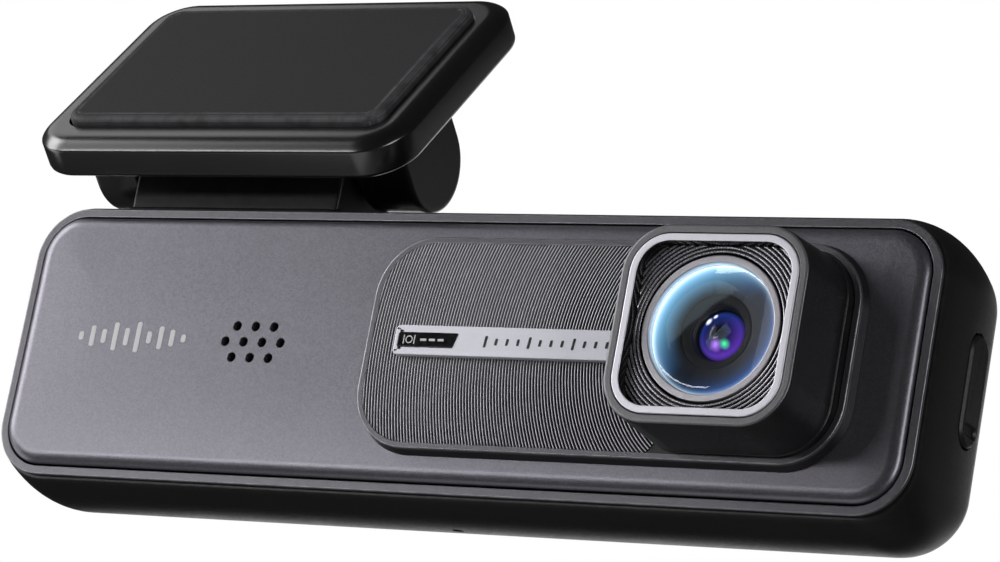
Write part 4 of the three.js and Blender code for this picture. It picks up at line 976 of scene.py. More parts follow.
# %% [markdown]
# ## Openings in the shell
#
# The shell carries a raised seat for the hinge neck, a boss behind the card door, and many
# openings: the door's pocket, the power socket, five vents and a microphone hole in the floor,
# the button, the lamp and four screw wells in the back. The cutters widen where they leave the
# surface, so each opening gets the small chamfer that a mould leaves.

# %% Cut the openings
HINGE_X, HINGE_Y, HINGE_Z = -33.5, 9.8, 24.754
SEAT_TOP = 17.054
CARD_PLACE = (9.9, 0.6)
DOOR_LENGTH, DOOR_WIDTH = 11.9, 4.4
END_AT_CARD = 55 + END_SWELL * swell(CARD_PLACE[0])
POCKET_FLOOR = END_AT_CARD - 1.05
POWER_PLACE = (9.27, 0.0)
BUTTON_PLACE, LAMP_PLACE = (-20.0, 0.35), (-33.0, 0.35)
SCREW_PLACES = [(sx * 47.0, sz * 10.45) for sx, sz in ((1, 1), (-1, 1), (-1, -1), (1, -1))]
SCREW_WELL = 15.2
SHANK_HOLE, WELL_RADIUS, POST_RADIUS = 1.25, 2.2, 2.8
BEYOND_BACK = 18.1


MOUTH = 0.4


def tube_along(name, outline, place, from_, to, flares=(0, 0), to_scene=case_to_scene):
    """A rod of any outline between two levels, widened at its ends by the flares."""
    rows = []
    for at, flare, into in ((from_, flares[0], 1), (to, flares[1], -1)):
        inwards = into if to > from_ else -into
        row = [(at, flare)]
        if flare:
            row = [(at, flare + MOUTH), (at + inwards * MOUTH, flare)]
            row.append((at + inwards * (MOUTH + flare), 0))
        rows += row if into == 1 else row[::-1]
    return skin(name, [place(shrink(outline, -f), at) for at, f in rows], to_scene)


seat_profile = soften([(0, 15.6), (0, SEAT_TOP), (3, SEAT_TOP)], 0.25)
SEAT = dict(width=29.2, height=11.8, radius=1.5, centre=(HINGE_X, HINGE_Y))
seat = skin("seat", [level(rounded(inset=i, **SEAT), z) for i, z in seat_profile])
boss_outline = rounded(DOOR_WIDTH + 2.4, DOOR_LENGTH + 2.4, 3, CARD_PLACE)
boss_ends = (POCKET_FLOOR - 1.4, END_AT_CARD - 0.5)
card_boss = skin("boss", [sideways(boss_outline, x) for x in boss_ends])
screw_posts = [post("post", POST_RADIUS, 9.3, 17.0, place) for place in SCREW_PLACES]
carve(shell, [seat, card_boss, *screw_posts], "UNION")

door_outline = rounded(DOOR_WIDTH, DOOR_LENGTH, DOOR_WIDTH / 2, CARD_PLACE)
power_mouth = rounded(3.56, 9.24, 1.6, POWER_PLACE)
cutters = [
    tube_along("door_pocket", shrink(door_outline, -0.1), sideways, POCKET_FLOOR, 56.1, (0, 0.12)),
    tube_along("card_slot", rounded(1.35, 11.3, 0.4, CARD_PLACE), sideways, 50.0, 56.0),
    tube_along("power_hole", power_mouth, sideways, -56.2, -53.0, (0.3, 0)),
    tube_along("microphone_hole", circle(0.6, (0, 9), 32), level, -17.35, -13.0, (0.15, 0)),
]
for i in range(-2, 3):
    slot = rounded(5, 1.2, 0.59, (4 + 7.5 * i, 13.2))
    cutters.append(tube_along("vent", slot, level, -16.75, -13.0, (0.15, 0)))
for place in SCREW_PLACES:
    well = circle(WELL_RADIUS, place)
    cutters.append(tube_along("well", well, across, 18.2, SCREW_WELL, (0.15, 0)))
    cutters.append(post("shank_hole", SHANK_HOLE, 5.0, 17.0, place))
for name, radius, place in (("button_hole", 5.2, BUTTON_PLACE), ("lamp_hole", 1.1, LAMP_PLACE)):
    cutters.append(tube_along(name, circle(radius, place), across, BEYOND_BACK, 14.0, (0.1, 0)))
carve(shell, cutters)
dress(shell, "moulded black", stands_for=["rear_housing"])

# %% [markdown]
# ## The front bezel
#
# A narrow painted rim runs round the face. Its outer edge is eased and its inner edge has a tiny
# chamfer, which catches the light as a thin line. Behind it one plate closes the case and leaves
# a dark groove between rim and panel, so the panel seems to float.

# %% Bezel


def case_outline(inset):
    return rounded(CASE_LENGTH, CASE_HEIGHT, CASE_CORNER, inset=inset)


SPEAKER_PLACE, SPEAKER_HOLE = (-23.6, 0.2), 5.1
LENS_HOLE = 7.7
rim_profile = [(2.4, 0.5), (0.97, 0.5), (0.97, 0.0), (0.0, 0.0), (0.0, 0.5), (1.8, 0.5)]
rim_profile += [(1.8, 1.9), (2.4, 1.9)]
rim_profile = soften(rim_profile, [0, 0, 0.1, 0.16, 0.05, 0, 0.1, 0], support=0.06)
bezel = skin("front_rim", [across(case_outline(i), d) for i, d in rim_profile])
carve(bezel, [post("lens_hole", LENS_HOLE, -2, 3, LENS_CENTRE)])
carve(bezel, [post("sound_hole", SPEAKER_HOLE, -2, 3, SPEAKER_PLACE)])
dress(bezel, "rim paint", stands_for=["front_bezel"])

# %% [markdown]
# ## The front panel
#
# The panel is a flat face whose border rolls over in a quarter of an ellipse, wider than it is
# deep. That roll makes the dark line and the soft gradient along its edges, so it has to be a
# true shape and not a trick of shading. Inside the roll the face still falls away by a sixth of
# a millimetre, like a cushion, and gathers the light near its ends. Ten countersunk sound holes
# are drilled through it.

# %% Panel
PANEL_INSET, PANEL_ROLL, PANEL_PROUD = 1.17, 1.5, 0.9
CROWN_WIDTH, CROWN_DROP = 9.5, 0.16


def crown_depth(reach):
    """The face falls away a little towards its border, like a cushion."""
    return -PANEL_PROUD + CROWN_DROP * (1 - reach / CROWN_WIDTH) ** 2


panel_profile = [(PANEL_INSET + 0.5, 0.4), (PANEL_INSET, 0.4), (PANEL_INSET, 0.05)]
for i in range(17):
    angle = math.pi / 2 * i / 16
    roll = PANEL_INSET + PANEL_ROLL * (1 - math.cos(angle))
    panel_profile.append((roll, crown_depth(0) * math.sin(angle)))
crown_start = PANEL_INSET + PANEL_ROLL
for reach in np.linspace(0.5, CROWN_WIDTH, 14):
    panel_profile.append((crown_start + reach, crown_depth(reach)))
panel_profile.append((crown_start + CROWN_WIDTH + 0.3, -PANEL_PROUD))
panel = skin("front_panel_skin", [across(case_outline(i), d) for i, d in panel_profile])
SOUND_HOLE, SOUND_SPACING, SOUND_ROW = 0.52, 2.35, 1.75
grille = []
for row, count in enumerate((3, 4, 3)):
    for i in range(count):
        x = SPEAKER_PLACE[0] + SOUND_SPACING * (i - (count - 1) / 2)
        place = (x, SPEAKER_PLACE[1] + SOUND_ROW * (1 - row))
        grille.append(tube_along("sound_hole", circle(SOUND_HOLE, place, 40), across, -1.2, 1.5))
        grille.append(post("sink", SOUND_HOLE, -0.98, -0.5, place, flare=0.12, steps=40))
carve(panel, grille + [post("lens_hole", LENS_HOLE, -3, 3, LENS_CENTRE)])
dress(panel, "gunmetal paint", stands_for=["front_panel"])

# %% [markdown]
# ## The island
#
# A black step carries a thin bright frame, and inside the frame lies the rippled field. The
# ripples are cut for real: a fan of points about the lens's axis, six rows of points to each
# ripple, kept only where it falls inside the frame. Under low light from the side each crest
# casts its own shade, which a bump map can't do at the edge of the plate.

# %% Island and frame
ISLAND = dict(width=56.3, height=23.1, radius=6.6, centre=(19.75, 0.35))
ISLAND_FACE = -2.4


def island_outline(inset):
    return rounded(inset=inset, **ISLAND)


step_profile = soften([(2, -0.91), (-0.35, -0.91), (-0.02, -1.98), (2, -1.98)], [0, 0.05, 0.1, 0])
island = skin("island_step", [across(island_outline(i), d) for i, d in step_profile])
carve(island, [post("lens_hole", LENS_HOLE, -3, 0, LENS_CENTRE)])
dress(island, "satin black", stands_for=["island_base"])

FRAME_WIDTH = 0.66
frame_profile = [(0, -2.0), (0, ISLAND_FACE), (FRAME_WIDTH, ISLAND_FACE), (FRAME_WIDTH, -2.0)]
frame_profile = soften(frame_profile, [0, 0.16, 0.06, 0], closed=True, support=0.05)
frame_loops = [across(island_outline(i), d) for i, d in frame_profile]
island_frame = skin("island_frame", frame_loops, closed=True)
dress(island_frame, "rim paint", stands_for=["ripple_plate"])

# %% Ripples


def ripple_fan(name, radii, half_angles, face, depth, pitch, share, back, columns):
    """A fan of ripples about the lens, as a closed slab, or a full turn without half_angles.
    share is how much of each ripple is flat crest."""
    full = half_angles is None
    count = len(radii)
    fronts, backs = [], []
    for k, radius in enumerate(radii):
        if full:
            angles = 2 * math.pi * np.arange(columns) / columns
        else:
            angles = math.pi + np.linspace(-half_angles[k], half_angles[k], columns)
        x = LENS_CENTRE[0] + radius * np.cos(angles)
        z = LENS_CENTRE[1] + radius * np.sin(angles)
        wave = 0.5 + 0.5 * math.cos(2 * math.pi * radius / pitch)
        crest = min(1.0, wave / (1 - share))
        y = np.full(columns, face + depth * (1 - crest**0.8))
        fronts.append(np.stack([x, y, z], 1))
        backs.append(np.stack([x, np.full(columns, back), z], 1))
    if full:
        return skin(name, fronts + [backs[-1], backs[0]], closed=True)
    points = np.concatenate(fronts + backs)
    faces = []
    half = count * columns
    for k in range(count - 1):
        for c in range(columns - 1):
            a, b = k * columns + c, (k + 1) * columns + c
            faces.append((a, a + 1, b + 1, b))
            faces.append((half + a, half + b, half + b + 1, half + a + 1))
        for c in (0, columns - 1):
            a, b = k * columns + c, (k + 1) * columns + c
            faces.append((a, b, half + b, half + a))
    for k in (0, count - 1):
        for c in range(columns - 1):
            a = k * columns + c
            faces.append((a, a + 1, half + a + 1, half + a))
    return mesh_object(name, points, faces)


FIELD_HALF_HEIGHT = 11.4
ripple_radii = np.arange(9.8, 45.5, RIPPLE_PITCH / 6)
ripple_angles = np.arcsin(np.minimum(1, FIELD_HALF_HEIGHT / ripple_radii)) + 0.02
ripple_angles = np.minimum(math.radians(50), ripple_angles)
ripples = ripple_fan(
    "ripple_field",
    ripple_radii,
    ripple_angles,
    face=ISLAND_FACE + 0.03,
    depth=0.12,
    pitch=RIPPLE_PITCH,
    share=0.35,
    back=-2.0,
    columns=90,
)
inside_frame = island_outline(FRAME_WIDTH + 0.01)
field_shape = skin("field", [across(inside_frame, d) for d in (-3.0, -1.5)])
carve(ripples, [field_shape], "INTERSECT")
dress(ripples, "ripple metal", angle=75)

behind = skin("ripple_backing", [across(inside_frame, d) for d in (-2.22, -2.0)])
carve(behind, [post("lens_hole", LENS_HOLE, -4, 0, LENS_CENTRE)])
dress(behind, "satin black")

# %% [markdown]
# ## The badge strip
#
# A thin silver strip runs from the left of the island to the lens block. A short black inset with
# a slanted end sits in it. The real strip carries words, which a library part shouldn't, so the
# inset has a small lens sign and the strip a plain row of tick marks, like a scale.

# %% Badge
BADGE_LEFT, BADGE_RIGHT, BADGE_Z = -4.6, 24.86, 0.35
badge_middle = ((BADGE_LEFT + BADGE_RIGHT) / 2, BADGE_Z)
badge_outline = rounded(BADGE_RIGHT - BADGE_LEFT, 3.25, 0.55, badge_middle)
badge_profile = [(1.0, -2.35), (0, -2.35), (0, -3.05), (1.0, -3.05)]
badge_profile = soften(badge_profile, [0, 0, 0.1, 0], support=0.05)
badge = skin("badge_bar", [across(shrink(badge_outline, i), d) for i, d in badge_profile])
inset_points = [(-4.15, -0.825), (2.55, -0.825), (3.05, 0.825), (-4.15, 0.825)]


def plate_of(name, corners, front, back, corner=0.25, edge=0.06):
    """A thin plate with softened corners and edges, from its corner points, anticlockwise."""
    outline = np.array(soften(corners, corner, steps=5, closed=True, support=0.02))
    rows = [(edge + 0.05, back), (0, back), (0, front + edge), (edge * 0.3, front + edge * 0.3)]
    rows += [(edge, front), (edge + 0.05, front)]
    return skin(name, [across(shrink(outline, i), d) for i, d in rows])


inset_corners = [(x, z + BADGE_Z) for x, z in inset_points]
room = (-0.05, 0.05, 0.05, -0.05)
pocket_corners = [(x + dx, z) for (x, z), dx in zip(inset_corners, room)]
pocket = plate_of("pocket", pocket_corners, -3.3, -2.75, edge=0.01)
carve(badge, [pocket])
dress(badge, "badge silver", stands_for=["badge_strip"])
badge_inset = plate_of("badge_inset_plate", inset_corners, -3.12, -2.76)
dress(badge_inset, "gloss black", stands_for=["badge_inset"])

# %% Signs without words


def bar(left, width, tall, front, back, lean=0.0, corner=0.1, middle=BADGE_Z):
    """A small upright bar about a middle line. tall is half its height."""
    low, high, right = middle - tall, middle + tall, left + width
    corners = [(left, low), (right, low), (right + lean, high), (left + lean, high)]
    return plate_of("bar", corners, front, back, corner=corner, edge=0.01)


SIGN_FRONT, SIGN_BACK = -3.14, -3.11
ring_corners = [(0.32, SIGN_FRONT), (0.42, SIGN_FRONT), (0.42, SIGN_BACK), (0.32, SIGN_BACK)]
lens_sign = [turned("ring", ring_corners, (-2.75, BADGE_Z), steps=40)]
for left, width, tall, corner in (
    (-3.45, 0.12, 0.5, 0.03),
    (-2.17, 0.12, 0.5, 0.03),
    (-1.4, 0.75, 0.13, 0.06),
    (-0.35, 0.75, 0.13, 0.06),
    (0.7, 0.75, 0.13, 0.06),
):
    lens_sign.append(bar(left, width, tall, SIGN_FRONT, SIGN_BACK, corner=corner))
dress(merge("inset_sign", lens_sign), "mark white")
ticks = []
for i in range(13):
    tall, lean = (0.62, 0.12) if i % 4 == 0 else (0.36, 0.07)
    ticks.append(bar(6.2 + 1.3 * i, 0.3, tall, -3.08, -3.04, lean))
dress(merge("strip_ticks", ticks), "mark black")
levels = [0.5, 1.2, 0.8, 1.6, 1.0, 1.75, 0.7, 1.3, 0.95, 0.45]
sound_bars = []
for i, tall in enumerate(levels):
    left = -46.4 + 1.5 * i
    sound_bars.append(bar(left, 0.62, tall, -0.93, -0.89, corner=0.3, middle=0.35))
dress(merge("sound_sign", sound_bars), "mark white")

# %% [markdown]
# ## The lens block
#
# The block stands well out of the island. Its walls lean in slightly, as a moulding has to so
# that it leaves its mould, and its front edge is eased. A rounded square pocket holds the bright
# trim ring, the grooved plate and the lens. Block and ring are closed bands swept round the same
# kind of outline, so no cut is needed and every edge stays clean. The block's front band is
# painted grey and the ring's inner wall is black, so those faces get a second finish.

# %% Block and trim
BLOCK = dict(width=20.7, height=20.7, radius=5.1, centre=LENS_CENTRE)
TRIM = dict(width=18.7, height=18.7, radius=4.1, centre=LENS_CENTRE)
BLOCK_FACE, LENS_FACE = -11.3, -10.0
wall_rows = [(-0.44, -2.5), (-0.44, -2.62), (-0.28, -2.72), (-0.28, -2.86), (-0.42, -2.95)]
block_profile = [(1.9, -2.5), *wall_rows, (0.0, BLOCK_FACE), (0.9, BLOCK_FACE)]
block_profile += [(0.9, -9.3), (2.6, -9.3), (2.6, -2.5)]
block_profile = soften(block_profile, [0, 0, 0.05, 0, 0, 0.1, 0.3, 0.07, 0.05, 0, 0], closed=True)
block_loops = [across(rounded(inset=i, **BLOCK), d) for i, d in block_profile]
block = skin("lens_block", block_loops, closed=True)
dress(block, "satin black", stands_for=["lens_housing"])


def repaint(piece, material, chosen):
    """Gives a second finish to the faces whose middle and normal are chosen."""
    piece.data.materials.append(materials[material])
    count = 0
    for face in piece.data.polygons:
        if chosen(face.center / MM, face.normal):
            face.material_index = 1
            count += 1
    print(f"{piece.name}: {count} faces repainted, {material}")


face_level = CASE_ORIGIN[1] + BLOCK_FACE + 0.12
repaint(block, "face grey", lambda at, normal: at.y < face_level and normal.y < -0.6)

trim_profile = [(0, -9.4), (0, -11.4), (0.78, -11.4), (0.78, -9.4)]
trim_profile = soften(trim_profile, [0, 0.12, 0.08, 0], closed=True, support=0.06)
trim_loops = [across(rounded(inset=i, **TRIM), d) for i, d in trim_profile]
trim = skin("trim_frame", trim_loops, closed=True)
dress(trim, "trim metal", stands_for=["lens_trim_ring"])
trim_middle = CASE_ORIGIN[[0, 2]] + np.array(LENS_CENTRE)


def inside_trim(at, normal):
    """The faces of the ring that look towards the lens."""
    inwards = normal.x * (trim_middle[0] - at.x) + normal.z * (trim_middle[1] - at.z)
    return normal.y > -0.5 and inwards > 0


repaint(trim, "gloss black", inside_trim)

groove_radii = np.arange(7.8, 12.6, GROOVE_PITCH / 8)
grooves = ripple_fan(
    "groove_field",
    groove_radii,
    None,
    face=LENS_FACE,
    depth=0.16,
    pitch=GROOVE_PITCH,
    share=0.45,
    back=-9.4,
    columns=220,
)
plate_shape = skin("plate", [across(rounded(inset=0.85, **TRIM), d) for d in (-10.6, -9.0)])
carve(grooves, [plate_shape], "INTERSECT")
dress(grooves, "groove metal", stands_for=["groove_plate"], angle=75)

# %% [markdown]
# ## The lens
#
# From outside in: a flat painted ring, the cover glass with an eased rim, the slope with a painted
# blue glow, a dark baffle that narrows towards the front element, and the element itself, a steep
# little dome with painted glints. Each is turned on the same axis from a profile of radius and
# depth.

# %% Lens parts
ring_profile = [(6.85, -10.0), (7.6, -10.0), (7.6, -8.6), (5.3, -8.6), (5.3, -8.76), (6.85, -8.76)]
ring_profile = soften(ring_profile, [0.1, 0.12, 0, 0, 0, 0], closed=True, support=0.04)
lens_ring = turned("lens_ring_turned", ring_profile, LENS_CENTRE)
dress(lens_ring, "lens ring paint", stands_for=["lens_ring"])

glass_profile = [(0.02, -10.06), (2.5, -10.055), (4.5, -10.045), (5.6, -10.03)]
for i in range(9):
    angle = math.pi / 2 * i / 8
    glass_profile.append((5.7 + 1.08 * math.sin(angle), -10.02 + 0.32 * (1 - math.cos(angle))))
glass_profile += [(6.78, -9.25), (6.6, -9.2), (0.02, -9.2)]
glass = turned("cover_pane", glass_profile, LENS_CENTRE, closed=False)
dress(glass, "cover glass", stands_for=["cover_glass"])

slope_profile = [(6.76, -9.18), (SLOPE_INNER, -8.68), (SLOPE_INNER, -8.61), (6.76, -9.02)]
slope_profile = soften(slope_profile, [0, 0.2, 0, 0], closed=True)
# This ring carries the painted blue glow that stands in for reflections in the glass.
dress(turned("painted_glow_ring", slope_profile, LENS_CENTRE), "painted glow slope")

baffle_profile = [(6.1, -8.60), (4.7, -8.58), (3.5, -8.55), (2.95, -8.3), (2.85, -8.05)]
baffle_profile = soften([*baffle_profile, (6.1, -8.05)], [0, 0.2, 0.4, 0.3, 0, 0], closed=True)
baffle = turned("baffle", baffle_profile, LENS_CENTRE)
dress(baffle, "baffle grey", stands_for=["light_baffle"])

barrel_profile = [(3.0, -7.95), (6.1, -7.95), (6.1, 3.4), (3.3, 3.4), (3.3, 0.3), (2.7, 0.3)]
barrel_profile.append((2.7, -7.6))
barrel_profile = soften(barrel_profile, [0.1, 0.2, 0.2, 0.1, 0, 0, 0.1], closed=True)
barrel = turned("barrel", barrel_profile, LENS_CENTRE)
dress(barrel, "barrel black", stands_for=["lens_barrel"])


def element(name, radius, apex, back, sag, back_sag=0.0, rows=20):
    """A lens element: a domed front, a straight rim and a back."""
    profile = [(max(0.02, radius * t), apex + sag * t * t) for t in np.linspace(0, 1, rows)]
    profile.append((radius, apex + sag + 0.15))
    for t in np.linspace(1, 0, rows // 2):
        profile.append((max(0.02, radius * t), back + back_sag * t * t))
    return turned(name, profile, LENS_CENTRE, closed=False, steps=96)


for name, sizes, material, stands_for in (
    ("front_dome", (2.6, -8.3, -6.3, 1.15), "painted glint dome", "front_element"),
    ("second_lens", (2.6, -5.3, -3.9, 0.3, -0.4), "inner glass", "second_element"),
    ("rear_lens", (3.2, 0.4, 2.4, 0.6, -0.4), "inner glass", "rear_element"),
):
    dress(element(name, *sizes), material, stands_for=[stands_for])

# %% [markdown]
# ## Screws, button and lamp at the back
#
# The back is plain: four screws sunk in their wells, one round button and a lamp window. The
# screws are turned with a low dome and get a cross recess from two thin wedges. The button is
# slightly dished, so that a finger finds it, and has a soft edge.

# %% Back of the case


def cross_screw(name, place, head_front, head_back, radius=1.9, shank=0.95, shank_front=2.9):
    """A small domed screw with a cross recess, its head towards the back."""
    dome = head_back - 0.45
    profile = [(0.02, shank_front), (shank * 0.8, shank_front), (shank, shank_front + 0.3)]
    profile += [(shank, head_front), (radius - 0.15, head_front), (radius, head_front + 0.15)]
    profile.append((radius, dome))
    for i in range(1, 9):
        angle = math.pi / 2 * i / 8
        profile.append((max(0.02, radius * math.cos(angle)), dome + 0.4 * math.sin(angle)))
    screw = turned(name, profile, place, closed=False, steps=64)
    for wide, thin in ((1.05, 0.2), (0.2, 1.05)):
        rows = [(0.0, head_back + 0.2), (0.0, head_back - 0.25), (0.1, head_back - 0.6)]
        loops = [across(rounded(2 * wide, 2 * thin, 0.08, place, i * 0.9, 3), d) for i, d in rows]
        carve(screw, [skin("slot", loops)])
    return screw


for number, place in enumerate(SCREW_PLACES, 1):
    screw = cross_screw(f"case_screw_{number}", place, 15.3, 16.5)
    dress(screw, "dark steel", stands_for=[f"housing_screw_{number}"])

button_profile = [(0.02, 18.02), (2.0, 18.05), (3.6, 18.16), (4.4, 18.28), (5.0, 18.3)]
button_profile += [(5.0, 16.25), (6.0, 16.25), (6.0, 15.5), (1.4, 15.5), (1.4, 14.8), (0.02, 14.8)]
button_profile = soften(button_profile, [0, 0.5, 0.5, 0.3, 0.3, 0, 0.1, 0.1, 0, 0, 0])
button = turned("shutter_button", button_profile, BUTTON_PLACE, closed=False)
dress(button, "neck black", "rear_button", ["rear_button"])

lamp_profile = [(0.02, 17.82), (0.9, 17.78), (0.9, 16.3), (1.8, 16.3), (1.8, 15.6), (0.9, 15.6)]
lamp_profile += [(0.9, 13.3), (0.02, 13.3)]
lamp_profile = soften(lamp_profile, [0, 0.12, 0, 0.1, 0.1, 0, 0.1, 0])
lamp = turned("lamp_window", lamp_profile, LAMP_PLACE, closed=False)
dress(lamp, "lamp white", stands_for=["light_pipe"])

# %% [markdown]
# ## The card door and the power socket
#
# The door is a rubber pill that stands a little out of the right-hand end, with a bright bevel
# and a scoop for a fingernail. The power socket at the other end is a folded steel tube with a
# tongue of black plastic, set back from the surface.

# %% Ends of the case
door_face = END_AT_CARD + 0.35
door_steps = [(0.6, 1.2), (0.1, 1.2), (0.1, 0.32), (0.42, 0), (1.2, 0)]
door_profile = [(inset, door_face - back) for inset, back in door_steps]
door_profile = soften(door_profile, [0, 0.05, 0.08, 0.12, 0], support=0.05)
door = skin("card_door_skin", [sideways(shrink(door_outline, i), x) for i, x in door_profile])
scoop_outline = rounded(2.6, 0.9, 0.42, (CARD_PLACE[0], CARD_PLACE[1] - 4.1))
scoop = tube_along("scoop", scoop_outline, sideways, door_face + 0.25, door_face - 0.28, (0.1, 0))
carve(door, [scoop])
dress(door, "door rubber", "card_door", ["card_door"])

POWER_LEFT, POWER_RIGHT = -54.99, -49.2
shell_profile = [(0, POWER_LEFT), (0.3, POWER_LEFT), (0.3, POWER_RIGHT), (0, POWER_RIGHT)]
shell_profile = soften(shell_profile, 0.1, closed=True)


def power_outline(inset):
    return rounded(3.26, 8.94, 1.45, POWER_PLACE, inset)


tube = skin("power_shell", [sideways(power_outline(i), x) for i, x in shell_profile], closed=True)
power_back = skin("power_back", [sideways(power_outline(0.02), x) for x in (-49.3, -47.7)])
carve(tube, [power_back], "UNION")
dress(tube, "plated steel", stands_for=["usb_socket"])
tongue_profile = [(0.3, POWER_LEFT + 0.9), (0, POWER_LEFT + 1.1), (0, -49.0), (0.2, -49.0)]
tongue_loops = []
for inset, x in soften(tongue_profile, [0, 0.1, 0, 0]):
    tongue_loops.append(sideways(rounded(0.7, 6.7, 0.2, POWER_PLACE, inset, 4), x))
tongue = skin("power_tongue", tongue_loops)
dress(tongue, "chip black")

# %% [markdown]
# ## The hinge neck
#
# The neck is a short moulded barrel on two flanks, screwed to the case. Its ends are eased where
# they run against the bracket's ears. The side view is drawn once and drawn in at both ends.

# %% Neck
NECK_RADIUS, NECK_WIDTH, NECK_BASE = 5.2, 27.2, 17.154


def half_turn(radius, y, z, start=0.0):
    """Forty-one points on half a circle, in depth and height."""
    angles = start + math.pi * np.arange(41) / 40
    return np.stack([y + radius * np.cos(angles), z + radius * np.sin(angles)], 1)


neck_foot = [(HINGE_Y - NECK_RADIUS, NECK_BASE), (HINGE_Y + NECK_RADIUS, NECK_BASE)]
side_view = np.concatenate([neck_foot, half_turn(NECK_RADIUS, HINGE_Y, HINGE_Z)])
half = NECK_WIDTH / 2
neck_profile = [(2.5, -half), (0, -half), (0, half), (2.5, half)]
neck_profile = soften(neck_profile, [0, 0.45, 0.45, 0], steps=6)
neck = skin("neck", [sideways(shrink(side_view, i), HINGE_X + x) for i, x in neck_profile])
bore_outline = circle(2.05, (HINGE_Y, HINGE_Z))
neck_cuts = [tube_along("bore", bore_outline, sideways, HINGE_X - 15, HINGE_X + 15)]
for x in (HINGE_X - 8, HINGE_X + 8):
    neck_cuts.append(tube_along("pilot", circle(SHANK_HOLE, (x, HINGE_Y), 32), level, 16.5, 21.5))
carve(neck, neck_cuts)
dress(neck, "neck black", stands_for=["hinge_neck"])

# %% [markdown]
# ## The bracket and its pad
#
# The plate's border rolls down through about fifty degrees and stops at a crisp lower edge. Two
# round ears hang from it and hold the neck. On top lies the adhesive pad, a foam tape about a
# millimetre and a half thick with an eased edge, in a shallow pocket that leaves a fine groove.

# %% Bracket plate and ears
PLATE = dict(width=48.2, height=32.9, radius=5.45)
PLATE_FACE, PLATE_BACK = -0.95, -5.35
ROLL, ROLL_TURN = 2.75, math.radians(52)
back_steps = [(1.6, 0), (0.6, 0), (0.29, 0.09), (0.09, 0.29), (0, 0.6)]
plate_profile = [(inset, PLATE_BACK + rise) for inset, rise in back_steps]
crisp = PLATE_FACE - ROLL * (1 - math.cos(ROLL_TURN))
plate_profile += [(0, crisp - 0.25), (0, crisp - 0.08), (0.03, crisp + 0.02)]
for i in range(1, 21):
    angle = ROLL_TURN * (1 - i / 20)
    inset = ROLL * (math.sin(ROLL_TURN) - math.sin(angle))
    plate_profile.append((inset, PLATE_FACE - ROLL * (1 - math.cos(angle))))
plate_profile.append((ROLL * math.sin(ROLL_TURN) + 0.1, PLATE_FACE))
plate_loops = [level(rounded(inset=i, **PLATE), z) for i, z in plate_profile]
bracket = skin("bracket", plate_loops, bracket_to_scene)

EAR_RADIUS = 5.8
EAR_Y, EAR_Z = -4.5, -10.1
ear_roots = [(EAR_Y + side * EAR_RADIUS, PLATE_BACK + 0.5) for side in (1, -1)]
ear_view = np.concatenate([half_turn(EAR_RADIUS, EAR_Y, EAR_Z, math.pi), ear_roots])
EARS = {"left": (-20.95, -14.65), "right": (13.95, 20.85)}
ears = []
for side, (from_x, to_x) in EARS.items():
    ear_profile = [(3, from_x), (0, from_x), (0, to_x), (3, to_x)]
    ear_profile = soften(ear_profile, [0, 0.7, 0.7, 0], steps=6)
    ear_loops = [sideways(shrink(ear_view, i), x) for i, x in ear_profile]
    ears.append(skin("ear_" + side, ear_loops, bracket_to_scene))
carve(bracket, ears, "UNION")


def axle(name, steps):
    """A round piece on the hinge's axis: (radius, x) steps."""
    loops = [sideways(circle(radius, (EAR_Y, EAR_Z)), x) for radius, x in steps]
    return skin(name, loops, bracket_to_scene)


pocket_loops = [level(rounded(41.8, 25.6, 2.5), z) for z in (-1.9, 2.0)]
bracket_cuts = [skin("pocket", pocket_loops, bracket_to_scene)]
for name, radius, from_x, to_x in (
    ("neck_space", 5.5, EARS["left"][1], EARS["right"][0]),
    ("head_space", 3.4, -23, -16.7),
    ("screw_space", 2.05, -22, -12.6),
    ("nut_space", 3.2, 12, 18.6),
):
    bracket_cuts.append(axle(name, [(radius, from_x), (radius, to_x)]))
carve(bracket, bracket_cuts)
dress(bracket, "bracket black", "bracket", ["mount_bracket"])

# %% Pad
pad_profile = [(2.0, -1.6), (0, -1.6), (0, -0.5), (0.12, -0.24), (0.42, -0.04), (0.8, 0.0)]
pad_profile.append((1.4, 0.0))
pad_profile = soften(pad_profile, [0, 0.1, 0.2, 0.2, 0.2, 0.2, 0])
pad_loops = [level(rounded(41.2, 25, 2.2, inset=i), z) for i, z in pad_profile]
pad = skin("pad", pad_loops, bracket_to_scene)
dress(pad, "pad foam", "bracket", ["adhesive_pad"])

# %% Hinge hardware
cap_profile = [(0.02, -20.95), (3.1, -20.95), (3.1, -20.25), (0.02, -20.25)]
cap = axle("hinge_cap_turned", soften(cap_profile, [0, 0.2, 0.05, 0]))
dress(cap, "neck black", "bracket", ["hinge_cap"])

# %% [markdown]
# ## Parts that keep their shape
#
# The remaining parts are flat boards, chips, washers and cans whose shape is already right. They
# stay as they are and only change their finish, so that nothing in the model shows plain.

